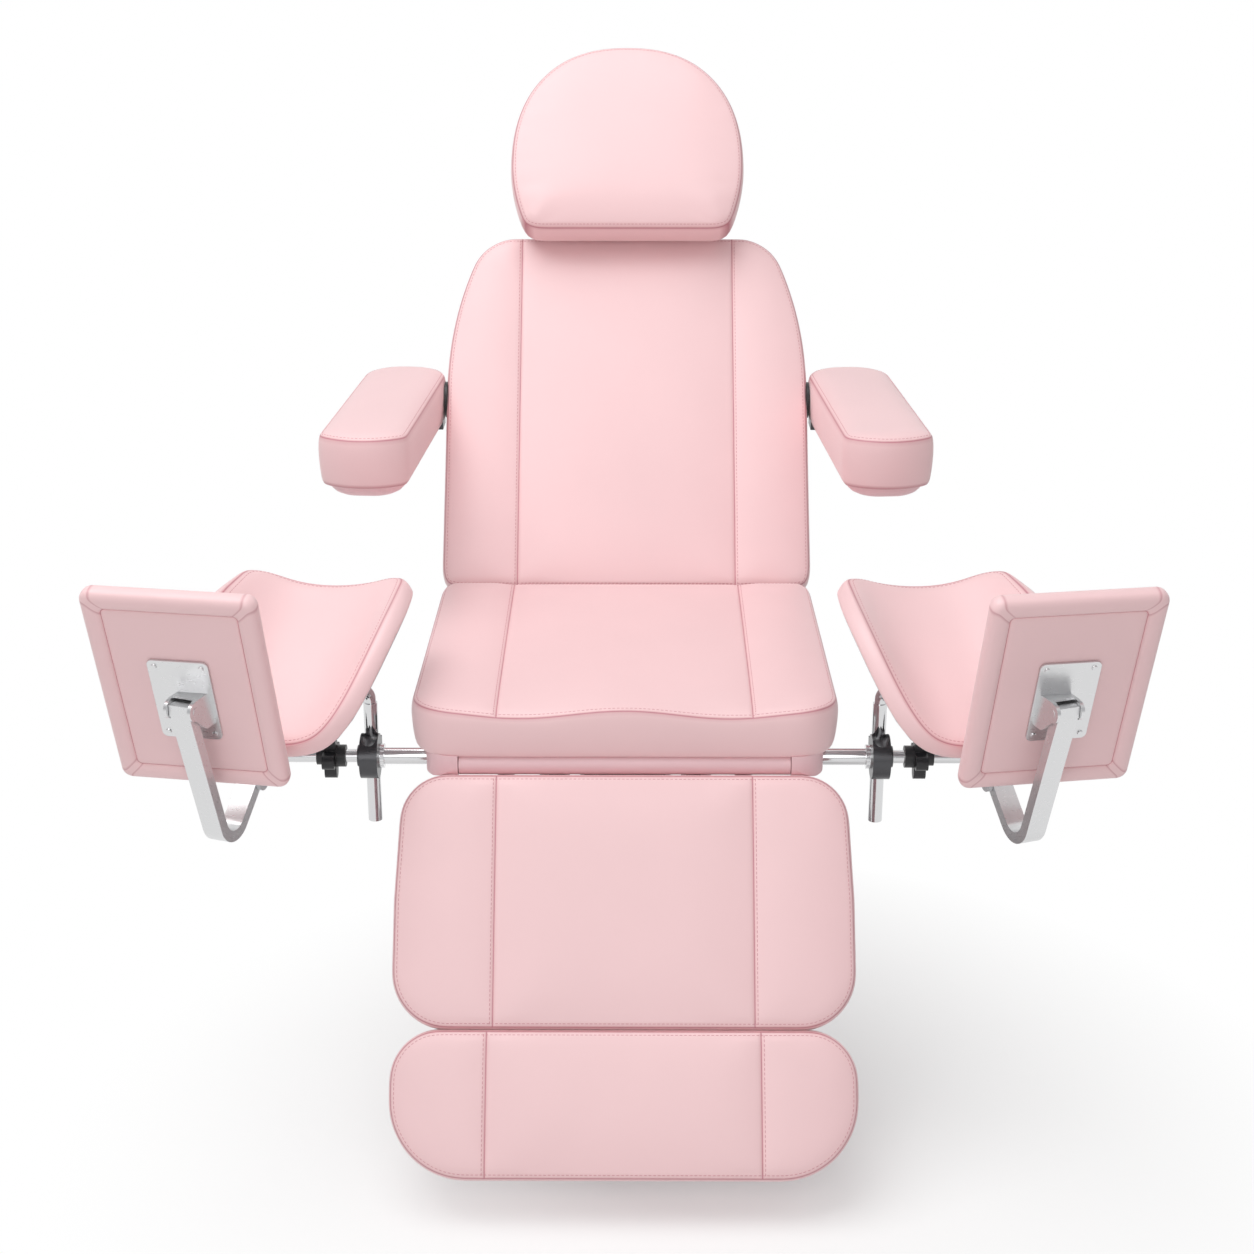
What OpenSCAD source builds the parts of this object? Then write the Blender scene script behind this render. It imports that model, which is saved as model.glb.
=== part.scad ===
// Electric treatment chair: a padded seat on a three-stage lifting column, with a reclining
// back, a sliding and tilting headrest, a swinging legrest with a pull-out footrest, two
// armrests, and on each side a knee saddle with a foot board on an adjustable post.
// The chair faces -Y, left means -X, and the floor is at z = 0.

/* [Seat] */
// Width of the seat at its front seam
seat_w = 600; // [540:5:660]
// Width of the seat at the back's crease
seat_rear_w = 586; // [530:2:650]
// Length of the seat from its front seam to the crease
seat_l = 500; // [460:5:540]
// Height of the seat's front seam above the floor
seat_seam_z = 630; // [610:5:680]
// Height of the seat cushion from its base to its seam
seat_side_h = 69; // [55:1:75]
// Radius of the seat's front corners
seat_front_r = 42; // [25:1:60]
// Height of the moulded pan under the seat
pan_h = 35; // [30:1:36]
// Width of the moulded pan
pan_w = 570; // [520:2:580]
// Width of each rounded lobe at the pan's front corners
lobe_w = 48; // [36:1:60]

/* [Back] */
// Angle of the back from upright
back_lean = 35; // [30:1:45]
// Length of the backrest cushion
back_l = 615; // [560:1:640]
// Full width of the backrest cushion
back_w = 600; // [560:2:620]
// Width of the backrest cushion at its top
back_top_w = 478; // [440:2:500]
// Radius of the backrest's top corners
back_top_r = 90; // [60:2:110]
// Thickness of the backrest cushion to its crown
back_t = 85; // [75:1:95]

/* [Headrest] */
// Length of the headrest cushion
head_l = 339; // [300:2:360]
// Width of the headrest cushion
head_w = 390; // [340:2:420]
// Thickness of the headrest cushion to its crown
head_t = 82; // [76:1:82]
// How far the headrest laps over the top of the backrest
head_lap = 16; // [8:0.5:20]
// How far the headrest stands proud of the backrest
head_proud = 83; // [83:1:90]

/* [Legrest] */
// Slope of the legrest below level
leg_slope = 57; // [50:1:57]
// Length of the legrest cushion
leg_l = 342; // [320:1:360]
// Width of the legrest cushion
leg_w = 642; // [600:2:660]
// Thickness of the leg and foot cushions to their crown
leg_t = 75; // [66:1:80]
// Length of the footrest cushion
foot_l = 196; // [170:1:215]
// Gap between the legrest and the footrest
foot_gap = 6; // [4:0.5:12]

/* [Armrests] */
// Length of an armrest cushion
arm_l = 470; // [400:2:480]
// Width of an armrest cushion
arm_w = 137; // [120:1:138]
// Thickness of an armrest cushion to its crown
arm_t = 92; // [86:1:96]
// Height of the top of the armrests above the floor
arm_top_z = 947; // [941:1:951]

/* [Upholstery] */
// Distance of the sewn channels from the middle line
channel_x = 181; // [150:1:200]
// Depth of the sewn channels
channel_d = 7; // [3:0.5:9]
// Half width of the sewn channels
channel_half = 8; // [5:0.5:12]

/* [Leg supports] */
// Height of the support rods above the floor
rod_z = 504; // [500:1:505]
// Distance of the support rods behind the seat's front seam
rod_y = 130; // [110:1:140]
// Diameter of the inner length of the support rods
rod_d = 25; // [22:0.5:26]
// Diameter of the outer length of the support rods
rod_end_d = 20; // [18:0.5:21]
// Distance of the post clamps from the middle line
clamp_x = 378; // [370:1:390]
// Diameter of the post clamps
clamp_d = 67; // [64:1:70]
// Diameter of the posts
post_d = 21; // [19:0.5:22]
// Diameter of the star knobs
star_d = 70; // [56:1:76]
// Length of a knee saddle along its slope
knee_l = 310; // [290:1:325]
// Slope of a knee saddle towards the foot
knee_slope = 28; // [24:1:32]
// Thickness of a knee saddle's padding
knee_t = 28; // [20:1:32]
// Width of a foot board
board_w = 243; // [220:1:250]
// Height of a foot board
board_h = 322; // [290:1:326]
// Thickness of a foot board
board_t = 28; // [22:1:30]

/* [Base] */
// Width of the base cover
base_w = 480; // [460:5:500]
// Length of the base cover
base_l = 670; // [650:5:690]
// Width of the lifting column's outer tube
column_w = 150; // [144:1:152]

/* [Hidden] */
$fn = 48;

// Overrun of every cut, a running gap round a shaft, and a gap beside a moving piece
over = 1;
run_gap = 0.05;
side_gap = 1;
eps_gap = 0.4;

// Half profile of a pad's side: shares of its height, and how far it is drawn in at each
side_shares = [0.86, 0.45, 0.08, 0];
side_draw = [0, 3, 1, 6];
pad_reach = 26;
pad_puff = 10;
pad_crown = 4;

// Places shared by several pieces, in the chair's frame: y runs back from the front seam
seat_base_z = seat_seam_z - seat_side_h;
crease_rise = 15;
crease_z = seat_seam_z + crease_rise;
pan_z = seat_base_z - pan_h;
leg_start_set = [-30, -22];
leg_start = [leg_start_set[0], seat_base_z + leg_start_set[1]];
leg_pivot_set = [40, -16];
leg_pivot = [leg_pivot_set[0], seat_base_z + leg_pivot_set[1]];
back_pivot_set = [20, -45];
back_pivot = [seat_l + back_pivot_set[0], crease_z + back_pivot_set[1]];

// Centre of the chair's length, where the origin is
leg_reach = leg_start[0] - (leg_l + foot_gap + foot_l) * cos(leg_slope)
    + (pad_puff + pad_crown) * sin(leg_slope);
head_reach = seat_l + (back_l - head_lap + head_l) * sin(back_lean)
    + (head_t - head_proud) * cos(back_lean);
mid_y = (leg_reach + head_reach) / 2;

// Steel
rail_w = 24;
rail_h = 40;
rail_x = 170;
rail_wall = 2.5;
rail_short = 2;
rail_end = seat_l - rail_short;
rail_front = 24;
ear_t = 8;
ear_gap = 1.5;
shaft_d = 16;
recline_d = 18;
boss_r = 14;

// Column
column_y = 290;
column_wall = 5;
column_gap = 0.25;
plate_z = 62;
plate_t = 8;
column_top_z = seat_base_z - rail_h - plate_t;
outer_h = 260;
middle_top_z = 425;
stage_step = 12;

// Actuators: x of each, their pivots and their lengths
act_x = 110;
act_d = 40;
act_rod_d = 20;
act_eye_w = 30;
act_pin_d = 12;
act_nose = 22;
motor_d = 44;
motor_l = 120;
leg_act_set = [330, -121];
leg_act = [leg_act_set[0], seat_base_z + leg_act_set[1]];
leg_lever = [70, -60];
back_act_set = [-250, -161];
back_act = [seat_l + back_act_set[0], seat_base_z + back_act_set[1]];
back_lever = [65.4, -107.8];
// Extra radius of the open eyes, which take up the linkage's small misalignment
eye_play = 7.5;

module placed() {
    translate([0, -mid_y, 0])
        children();
}

// Modelled on the right, mirrored for the left
module on_side(side) {
    placed()
        mirror([side < 0 ? 1 : 0, 0, 0])
            children();
}

// x across, y up the back's face, z out of it
module at_back() {
    placed()
        translate([0, seat_l, crease_z])
            rotate([90 - back_lean, 0, 0])
                children();
}

// x across, y down the legrest's face, z out of it
module at_leg() {
    placed()
        translate([0, leg_start[0], leg_start[1]])
            rotate([leg_slope, 0, 0])
                rotate([0, 0, 180])
                    children();
}

module box(low, high) {
    translate(low)
        cube(high - low);
}

// The same box on both sides of the middle
module twin_box(low, high) {
    box(low, high);
    mirror([1, 0, 0])
        box(low, high);
}

module rod_x(x0, x1, d) {
    translate([x0, 0, 0])
        rotate([0, 90, 0])
            cylinder(h = x1 - x0, d = d);
}

module round_rect(w, l, r) {
    square([w - 2 * r, l], center = true);
    square([w, l - 2 * r], center = true);
    for (i = [-1, 1], j = [-1, 1])
        translate([i * (w / 2 - r), j * (l / 2 - r)])
            circle(r);
}

// A profile in the y-z plane, given thickness along x from x0 to x1
module plate_x(x0, x1) {
    translate([x0, 0, 0])
        rotate([90, 0, 90])
            linear_extrude(x1 - x0)
                children();
}

// Rect tube along y, closed or open
module tube_y(w, h, l, wall) {
    difference() {
        translate([-w / 2, 0, -h / 2])
            cube([w, l, h]);
        translate([wall - w / 2, -over, wall - h / 2])
            cube([w - 2 * wall, l + 2 * over, h - 2 * wall]);
    }
}

// Upholstered pads

// Distances along a pad: close round both ends' corners, even between
function pad_rows(l, r0, r1, n_end, n_mid) = concat(
    [for (i = [0:n_end]) r0 * (1 - cos(90 * i / n_end))],
    [for (i = [1:n_mid - 1]) r0 + (l - r0 - r1) * i / n_mid],
    [for (i = [n_end:-1:0]) l - r1 * (1 - cos(90 * i / n_end))]);

// How far a corner of radius r draws the outline in at a distance t from the end
function corner_in(t, r) = t >= r ? 0 : r - sqrt(r * r - (r - t) * (r - t));

// Columns across one row: [x, is it in a channel]
function half_columns(w, channel) =
    let (near = min(pad_reach, w / 4))
    channel == 0
    ? [[w, 0], [w - near, 0], [w / 2 - near / 2, 0]]
    : let (c = min(channel, w - 2 * near), g = min(channel_half, near / 2))
      [[w, 0], [w - min(near, (w - c - g) / 2), 0], [c + g, 0], [c, 1], [c - g, 0], [c / 2, 0]];
function columns(w, channel) =
    let (side = half_columns(w, channel), n = len(side))
    concat([for (i = [0:n - 1]) [-side[i][0], side[i][1]]], [[0, 0]],
        [for (i = [n - 1:-1:0]) side[i]]);

// Height of a pad's top: a swell that starts at the seam, a crown, and the channel's dip
function pad_top(x, in_channel, s, w, l, h) =
    let (edge = max(0, min(w - abs(x), s, l - s)), swell = 1 - pow(1 - min(1, edge / pad_reach), 2))
    h + swell * (pad_puff - in_channel * channel_d)
        + pad_crown * (1 - pow(x / w, 2)) * 4 * s * (l - s) / (l * l);

// Indices round a grid of r rows and c columns, and the same places in a ring of points
function grid_loop(r, c) = concat([for (j = [0:c - 1]) j], [for (i = [1:r - 1]) i * c + c - 1],
    [for (j = [c - 2:-1:0]) (r - 1) * c + j], [for (i = [r - 2:-1:1]) i * c]);
function ring_left(i, r, c) = i == 0 ? 0 : 2 * (c - 1) + 2 * (r - 1) - i;

function top_faces(r, c) = [for (i = [0:r - 2], j = [0:c - 2])
    let (a = i * c + j) each [[a, a + c, a + c + 1], [a, a + c + 1, a + 1]]];
function band_faces(upper, lower) = [for (p = [0:len(upper) - 1])
    let (q = (p + 1) % len(upper))
    each [[lower[p], upper[p], upper[q]], [lower[p], upper[q], lower[q]]]];
// A flat base over a ring that starts at index first
function base_faces(first, r, c) = let (last = c - 1 + r - 1) concat(
    [for (k = [0:c - 2]) [first + ring_left(1, r, c), first + k, first + k + 1]],
    [[first + ring_left(1, r, c), first + c - 1, first + c]],
    [for (i = [1:r - 3])
        let (a = first + ring_left(i, r, c), b = first + c - 1 + i, d = first + ring_left(i + 1, r, c))
        each [[a, b, b + 1], [a, b + 1, d]]],
    [[first + ring_left(r - 2, r, c), first + last - 1, first + last]],
    [for (p = [last:last + c - 2]) [first + ring_left(r - 2, r, c), first + p, first + p + 1]]);

// A pad lying on z = 0 with its length along y. half(s) is its half width at s, h the seam's
// height, and wave(x, s) lifts or lowers the seam.
module pad(l, rows, half, h, channel = 0, wave = function(x, s) 0, draw = side_draw) {
    grid = [for (s = rows) [for (q = columns(half(s), channel)) [q[0], s, q[1]]]];
    r = len(rows);
    c = len(grid[0]);
    w_max = max([for (s = rows) half(s)]);
    top = [for (row = grid, q = row)
        [q[0], q[1], pad_top(q[0], q[2], q[1], half(q[1]), l, h) + wave(q[0], q[1])]];
    loop = grid_loop(r, c);
    rings = [for (k = [0:len(draw) - 1], p = loop)
        [top[p][0] * (1 - draw[k] / w_max), l / 2 + (top[p][1] - l / 2) * (1 - 2 * draw[k] / l),
            side_shares[k] * (h + wave(top[p][0], top[p][1]))]];
    n = len(loop);
    starts = [for (k = [0:len(draw) - 1]) r * c + k * n];
    bands = [for (k = [0:len(draw) - 1]) [for (p = [0:n - 1]) starts[k] + p]];
    faces = concat(top_faces(r, c), band_faces(loop, bands[0]),
        [for (k = [1:len(draw) - 1]) each band_faces(bands[k - 1], bands[k])],
        base_faces(starts[len(draw) - 1], r, c));
    polyhedron(concat(top, rings), faces);
}

module pink() {
    color([0.95, 0.78, 0.8])
        children();
}

module steel() {
    color([0.78, 0.79, 0.8])
        children();
}

module dark() {
    color([0.12, 0.12, 0.13])
        children();
}

module painted() {
    color([0.93, 0.93, 0.93])
        children();
}

// Base

base_front_y = -50;
base_z = 20;
base_wall = 4;
base_skirt_z = 96;
base_top_z = 140;
base_slope = 46;
base_r = 40;
base_rail_w = 60;
base_rail_in = 20;
base_rail_z = 30;
base_rail_top = plate_z + plate_t;
base_mid_y = base_front_y + base_l / 2;
foot_inset_y = 50;
foot_pad_d = 56;
foot_pad_h = 12;
foot_stem_d = 14;
cover_post_d = 16;

module base_frame() {
    rail_x0 = base_w / 2 - base_rail_w - base_rail_in;
    y0 = base_front_y + base_rail_in;
    y1 = base_front_y + base_l - base_rail_in;
    painted() placed() {
        twin_box([rail_x0, y0, base_rail_z], [rail_x0 + base_rail_w, y1, base_rail_top]);
        for (y = [y0, column_y - column_w / 2, column_y + column_w / 2 - base_rail_w / 2, y1 - base_rail_w])
            box([-rail_x0, y, base_rail_z], [rail_x0, y + base_rail_w / 2, plate_z]);
        box([-rail_x0, column_y - column_w / 2 - 2 * stage_step, plate_z],
            [rail_x0, column_y + column_w / 2 + 2 * stage_step, base_rail_top]);
    }
}

module cover_form(inset) {
    hull() {
        translate([0, base_mid_y, base_z])
            linear_extrude(base_skirt_z - inset - base_z)
                round_rect(base_w - 2 * inset, base_l - 2 * inset, base_r - inset);
        translate([0, base_mid_y, base_z])
            linear_extrude(base_top_z - inset - base_z)
                round_rect(base_w - 2 * base_slope, base_l - 2 * base_slope, base_r - inset);
    }
}

module base_cover() {
    post_x = base_w / 2 - base_rail_w / 2 - base_rail_in;
    painted() placed() {
        difference() {
            cover_form(0, $fn = 32);
            difference() {
                translate([0, 0, -over])
                    cover_form(base_wall, $fn = 32);
                for (i = [-1, 1], y = [foot_inset_y, base_l - foot_inset_y])
                    translate([i * (post_x - base_slope / 3), base_front_y + base_slope / 2 + y - base_slope / 2,
                        base_rail_top])
                        cylinder(h = base_top_z, d = cover_post_d);
            }
            translate([0, column_y, base_z])
                linear_extrude(base_top_z)
                    square(column_w + 2 * base_wall, center = true);
            box([-inlet_w / 2, base_front_y + base_l - base_wall - over, inlet_z],
                [inlet_w / 2, base_front_y + base_l + over, inlet_z + inlet_h]);
        }
    }
}

inlet_w = 48;
inlet_h = 28;
inlet_z = 40;
inlet_lip = 4;
inlet_depth = 18;
inlet_pin = 4;

module mains_inlet() {
    y1 = base_front_y + base_l;
    dark() placed()
        difference() {
            union() {
                box([eps_gap - inlet_w / 2, y1 - inlet_depth, inlet_z + eps_gap],
                    [inlet_w / 2 - eps_gap, y1, inlet_z + inlet_h - eps_gap]);
                box([-inlet_w / 2 - inlet_lip, y1, inlet_z - inlet_lip],
                    [inlet_w / 2 + inlet_lip, y1 + inlet_lip, inlet_z + inlet_h + inlet_lip]);
            }
            difference() {
                box([inlet_lip - inlet_w / 2, y1 - inlet_depth + inlet_lip, inlet_z + inlet_lip],
                    [inlet_w / 2 - inlet_lip, y1 + inlet_lip + over, inlet_z + inlet_h - inlet_lip]);
                for (i = [-1, 0, 1])
                    translate([i * inlet_w / 4, y1 - inlet_depth, inlet_z + inlet_h / 2 + (i == 0 ? inlet_pin / 2 : 0)])
                        rotate([-90, 0, 0])
                            cylinder(h = inlet_depth, d = inlet_pin);
            }
        }
}

module levelling_feet() {
    foot_x = base_w / 2 - base_rail_w / 2 - base_rail_in;
    dark() placed()
        for (i = [-1, 1], y = [foot_inset_y, base_l - foot_inset_y])
            translate([i * foot_x, base_front_y + y, 0]) {
                cylinder(h = foot_pad_h, d1 = foot_pad_d, d2 = foot_pad_d * 0.8);
                cylinder(h = base_rail_z, d = foot_stem_d);
                translate([0, 0, foot_pad_h])
                    cylinder(h = foot_pad_h / 2, d = foot_stem_d * 2, $fn = 6);
            }
}

module column_tube(w, z0, z1) {
    translate([0, column_y, z0])
        linear_extrude(z1 - z0)
            difference() {
                round_rect(w, w, column_wall * 2);
                round_rect(w - 2 * column_wall, w - 2 * column_wall, column_wall);
            }
}

middle_w = column_w - 2 * column_wall - 2 * column_gap;
inner_w = middle_w - 2 * column_wall - 2 * column_gap;

module column_outer() {
    painted() placed() {
        column_tube(column_w, base_rail_top, base_rail_top + outer_h);
        translate([0, column_y, base_rail_top])
            linear_extrude(column_wall)
                round_rect(column_w - column_wall, column_w - column_wall, column_wall);
    }
}

module column_middle() {
    painted() placed()
        column_tube(middle_w, base_rail_top + stage_step, middle_top_z);
}

module column_inner() {
    painted() placed()
        column_tube(inner_w, base_rail_top + 2 * stage_step, column_top_z);
}

lift_motor_d = 56;
lift_motor_l = 130;

module lift_motor() {
    x0 = column_w / 2 + side_gap / 2;
    dark() placed() {
        box([x0, column_y - lift_motor_d / 2, base_rail_top],
            [x0 + lift_motor_d / 2, column_y + lift_motor_d / 2, base_rail_top + lift_motor_d / 2]);
        translate([x0 + lift_motor_d / 2, column_y - column_w / 2, base_rail_top + lift_motor_d / 2])
            rotate([-90, 0, 0])
                cylinder(h = lift_motor_l, d = lift_motor_d);
    }
}

// Seat

cross_w = 26;
cross_drop = 25;
rear_cross_drop = 15;
ear_room = 20;
hinge_x = 120;
leg_ear_x = hinge_x - ear_gap - ear_t;
rear_hinge_x = 172;
back_ear_x = rear_hinge_x - ear_gap - ear_t;
bracket_t = 6;
strap_t = 4;

module seat_frame() {
    rail_bottom = seat_base_z - rail_h;
    steel() placed() difference() {
        union() {
            for (i = [-1, 1])
                translate([i * rail_x, rail_front, seat_base_z - rail_h / 2])
                    tube_y(rail_w, rail_h, rail_end - rail_front, rail_wall);
            box([rail_w / 2 - rail_x, leg_pivot[0] + boss_r + ear_room, seat_base_z - cross_drop],
                [rail_x - rail_w / 2, leg_pivot[0] + boss_r + ear_room + cross_w, seat_base_z]);
            box([rail_w / 2 - rail_x, rail_end - cross_w, seat_base_z - rear_cross_drop],
                [rail_x - rail_w / 2, rail_end, seat_base_z]);
            box([-rail_x - rail_w / 2, min(column_y - column_w * 0.7, back_act[0] - boss_r), column_top_z],
                [rail_x + rail_w / 2, max(column_y + column_w * 0.7, leg_act[0] + boss_r), column_top_z + plate_t]);
            box([rail_w / 2 - rail_x, rod_y - 2 * cross_w / 3, rail_bottom],
                [rail_x - rail_w / 2, rod_y + 3 * cross_w / 2, rail_bottom + strap_t]);
            for (m = [0, 1])
                mirror([m, 0, 0]) {
                    plate_x(hinge_x, hinge_x + ear_t) {
                        translate(leg_pivot)
                            circle(boss_r);
                        translate([leg_pivot[0], leg_pivot[1] - boss_r])
                            square([boss_r + ear_room + cross_w / 2, boss_r + seat_base_z - leg_pivot[1]]);
                    }
                    plate_x(rear_hinge_x, rear_hinge_x + ear_t) {
                        translate(back_pivot)
                            circle(boss_r);
                        polygon([[rail_end - rail_h, rail_bottom + rail_wall], [rail_end, rail_bottom + rail_wall],
                            [back_pivot[0] + boss_r, back_pivot[1]], [back_pivot[0] - boss_r, back_pivot[1]],
                            [rail_end - rail_wall, seat_base_z], [rail_end - rail_h, seat_base_z]]);
                    }
                }
            for (x = [act_x - act_eye_w / 2 - side_gap - bracket_t, act_x + act_eye_w / 2 + side_gap]) {
                plate_x(-x - bracket_t, -x)
                    hanger_profile(leg_act);
                plate_x(x, x + bracket_t)
                    hanger_profile(back_act);
            }
        }
        for (p = [leg_pivot, back_pivot])
            translate([0, p[0], p[1]])
                rod_x(-seat_w / 2, seat_w / 2, (p == leg_pivot ? shaft_d : recline_d) + 2 * run_gap);
        for (m = [0, 1])
            mirror([m, 0, 0])
                translate([0, (m ? leg_act : back_act)[0], (m ? leg_act : back_act)[1]])
                    rod_x(act_x - act_eye_w, act_x + act_eye_w, act_pin_d + 2 * run_gap);
    }
}

module hanger_profile(p) {
    translate(p)
        circle(boss_r);
    translate([p[0] - boss_r, p[1]])
        square([2 * boss_r, column_top_z - p[1]]);
}

module pan_outline(inset) {
    difference() {
        translate([0, seat_l / 2 - base_wall])
            round_rect(pan_w - 2 * inset, seat_l - 2 * base_wall - 2 * inset, seat_front_r - inset);
        translate([-(pan_w / 2 - lobe_w) - inset, -over - base_wall])
            square([pan_w - 2 * lobe_w + 2 * inset, roll_depth + over + base_wall + inset]);
    }
}

roll_depth = 19;
roll_gap = 1;
pan_edge_r = 15;

module seat_pan() {
    rear_slot = 2 * (rear_hinge_x + ear_t + base_wall);
    pink() placed() difference() {
        translate([0, 0, pan_z])
            linear_extrude(pan_h)
                pan_outline(0);
        translate([0, 0, pan_z - over])
            linear_extrude(pan_h + 2 * over)
                pan_outline(base_wall);
        box([-rear_slot / 2, seat_l / 2, pan_z - over], [rear_slot / 2, seat_l, seat_base_z + over]);
        difference() {
            box([-pan_w, -base_wall, pan_z - over], [pan_w, pan_edge_r, pan_z + pan_edge_r]);
            translate([0, pan_edge_r, pan_z + pan_edge_r])
                rod_x(-pan_w - over, pan_w + over, 2 * pan_edge_r);
        }
    }
}

module front_roll() {
    half = pan_w / 2 - lobe_w - roll_gap;
    pink() placed() intersection() {
        translate([0, (pan_h - 2 * roll_gap) / 2 + roll_gap, pan_z + pan_h / 2])
            rod_x(-half, half, pan_h - 2 * roll_gap);
        box([-pan_w, 0, pan_z], [pan_w, roll_depth, seat_base_z]);
    }
}

seat_wave = 6;
function seat_half(s) = seat_w / 2 - (seat_w - seat_rear_w) / 2 * s / seat_l;
seat_rear_gap = 3;
seat_pad_l = seat_l - seat_rear_gap;
seat_rear_r = 12;
seat_wave_x = channel_x * 0.82;
seat_bolster = 8;

module seat_cushion() {
    front_fade = 4 * channel_half;
    bolster = function(x, s) seat_bolster * min(1, max(0, (abs(x) - channel_x) / pad_reach)) * s / seat_l;
    pink() placed()
        translate([0, 0, seat_base_z])
            pad(seat_pad_l, pad_rows(seat_pad_l, seat_front_r, seat_rear_r, 3, 5),
                function(s) seat_half(s) - corner_in(s, seat_front_r) - corner_in(seat_pad_l - s, seat_rear_r),
                seat_side_h, channel_x,
                function(x, s) seat_wave * cos(180 * x / seat_wave_x) * exp(-s / front_fade) + bolster(x, s)
                    + crease_rise * s / seat_l);
}

module control_box() {
    y0 = rod_y - 2 * cross_w / 3 + side_gap;
    y1 = rod_y + 3 * cross_w / 2 - side_gap;
    dark() placed() {
        z1 = seat_base_z - rail_h;
        box([-hinge_x / 2, y0, z1 - rail_h], [hinge_x / 2, y1, z1]);
        for (x = [-3:3])
            translate([x * rail_w / 2, y1, z1 - rail_h / 2])
                rotate([-90, 0, 0])
                    cylinder(h = bracket_t, d = rail_w / 3);
    }
}

module recline_shaft() {
    x = rear_hinge_x + ear_t + ear_gap;
    steel() placed()
        translate([0, back_pivot[0], back_pivot[1]])
            rod_x(-x, x, recline_d);
}

module leg_shaft() {
    x = hinge_x + ear_t + ear_gap;
    steel() placed()
        translate([0, leg_pivot[0], leg_pivot[1]])
            rod_x(-x, x, shaft_d);
}

socket_x = 145;
socket_l = 130;
socket_wall = 4;

module rod_sockets() {
    steel() placed()
        for (m = [0, 1])
            mirror([m, 0, 0])
                difference() {
                    translate([0, rod_y, 0]) {
                        translate([0, 0, rod_z])
                            rod_x(socket_x, socket_x + socket_l, rod_d + 2 * socket_wall);
                        box([socket_x, -rod_d / 2 - socket_wall / 2, rod_z],
                            [socket_x + socket_l, rod_d / 2 + socket_wall / 2, seat_base_z - rail_h]);
                    }
                    translate([0, rod_y, rod_z])
                        rod_x(socket_x - over, socket_x + socket_l + over, rod_d + 2 * run_gap);
                }
}

// Back

back_tube = 25;
back_tube_x = 150;
tray_wall = 3;
back_tray_w = 540;
tray_gap = 5;
guide_x = 55;
guide_d = 20;
head_rod_d = 16;
head_rod_drop = 15;
head_rod_t = -back_t - head_rod_drop;
strip_t = 5;
back_foot_r = 14;

// The back's hinge seen along its own frame: distance up the face, and out of it
function into_back(p) = [
    (p[0] - seat_l) * sin(back_lean) + (p[1] - crease_z) * cos(back_lean),
    -(p[0] - seat_l) * cos(back_lean) + (p[1] - crease_z) * sin(back_lean)];
back_hinge = into_back(back_pivot);
back_lever_at = back_hinge + [back_lever[0], back_lever[1]];
lever_x = act_x - act_eye_w / 2 - side_gap - bracket_t;

function back_half(s) =
    let (k = max(0, (s / back_l - 0.55) / 0.45))
    back_w / 2 - (back_w - back_top_w) / 2 * pow(k, 2.2);

module back_cushion() {
    seam = back_t - pad_puff - pad_crown;
    pink() at_back()
        translate([0, 0, -back_t])
            pad(back_l, pad_rows(back_l, back_foot_r, back_top_r, 3, 5),
                function(s) back_half(s) - corner_in(s, back_foot_r) - corner_in(back_l - s, back_top_r),
                seam, channel_x);
}

module back_frame() {
    low = -back_t - back_tube;
    steel() at_back() difference() {
        union() {
            for (i = [-1, 1])
                translate([i * back_tube_x, back_tube, low + back_tube / 2])
                    tube_y(back_tube, back_tube, back_l - 2 * back_tube, rail_wall);
            for (s = [back_tube + over, back_l * 0.55])
                box([-back_tube_x + back_tube / 2, s, low], [back_tube_x - back_tube / 2, s + back_tube, -back_t]);
            for (s = [back_l * 0.65, back_l * 0.92])
                box([-back_tube_x + back_tube / 2, s, -back_t - strip_t],
                    [back_tube_x - back_tube / 2, s + back_tube, -back_t]);
            for (m = [0, 1])
                mirror([m, 0, 0])
                    plate_x(back_ear_x, back_ear_x + ear_t) {
                        translate(back_hinge)
                            circle(boss_r);
                        polygon([[back_hinge[0] - boss_r, back_hinge[1]], [back_hinge[0] + boss_r, back_hinge[1]],
                            [back_hinge[0] + boss_r, -back_t - side_gap], [2 * back_tube, -back_t - side_gap],
                            [2 * back_tube, low], [back_hinge[0] + boss_r, low],
                            [back_hinge[0] - boss_r, low + back_tube]]);
                    }
            for (x = [lever_x, lever_x + act_eye_w + 2 * side_gap + bracket_t])
                plate_x(x, x + bracket_t) {
                    translate(back_lever_at)
                        circle(boss_r);
                    polygon([back_lever_at - [boss_r, 0], back_lever_at + [boss_r, 0], [2 * back_tube, -back_t],
                        [back_tube + over, -back_t]]);
                }
            translate([0, back_lever_at[0], back_lever_at[1]])
                rod_x(lever_x, lever_x + act_eye_w + 2 * side_gap + 2 * bracket_t, act_pin_d);
        }
        translate([0, back_hinge[0], back_hinge[1]])
            rod_x(-seat_w / 2, seat_w / 2, recline_d + 2 * run_gap);
    }
}

module tray(w, y0, y1, t0, depth, r) {
    difference() {
        translate([0, (y0 + y1) / 2, t0 - depth])
            linear_extrude(depth)
                round_rect(w, y1 - y0, r);
        translate([0, (y0 + y1) / 2, t0 - depth + tray_wall])
            linear_extrude(depth)
                round_rect(w - 2 * tray_wall, y1 - y0 - 2 * tray_wall, r - tray_wall);
    }
}

tray_r = 60;
arm_notch = 22;

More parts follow.
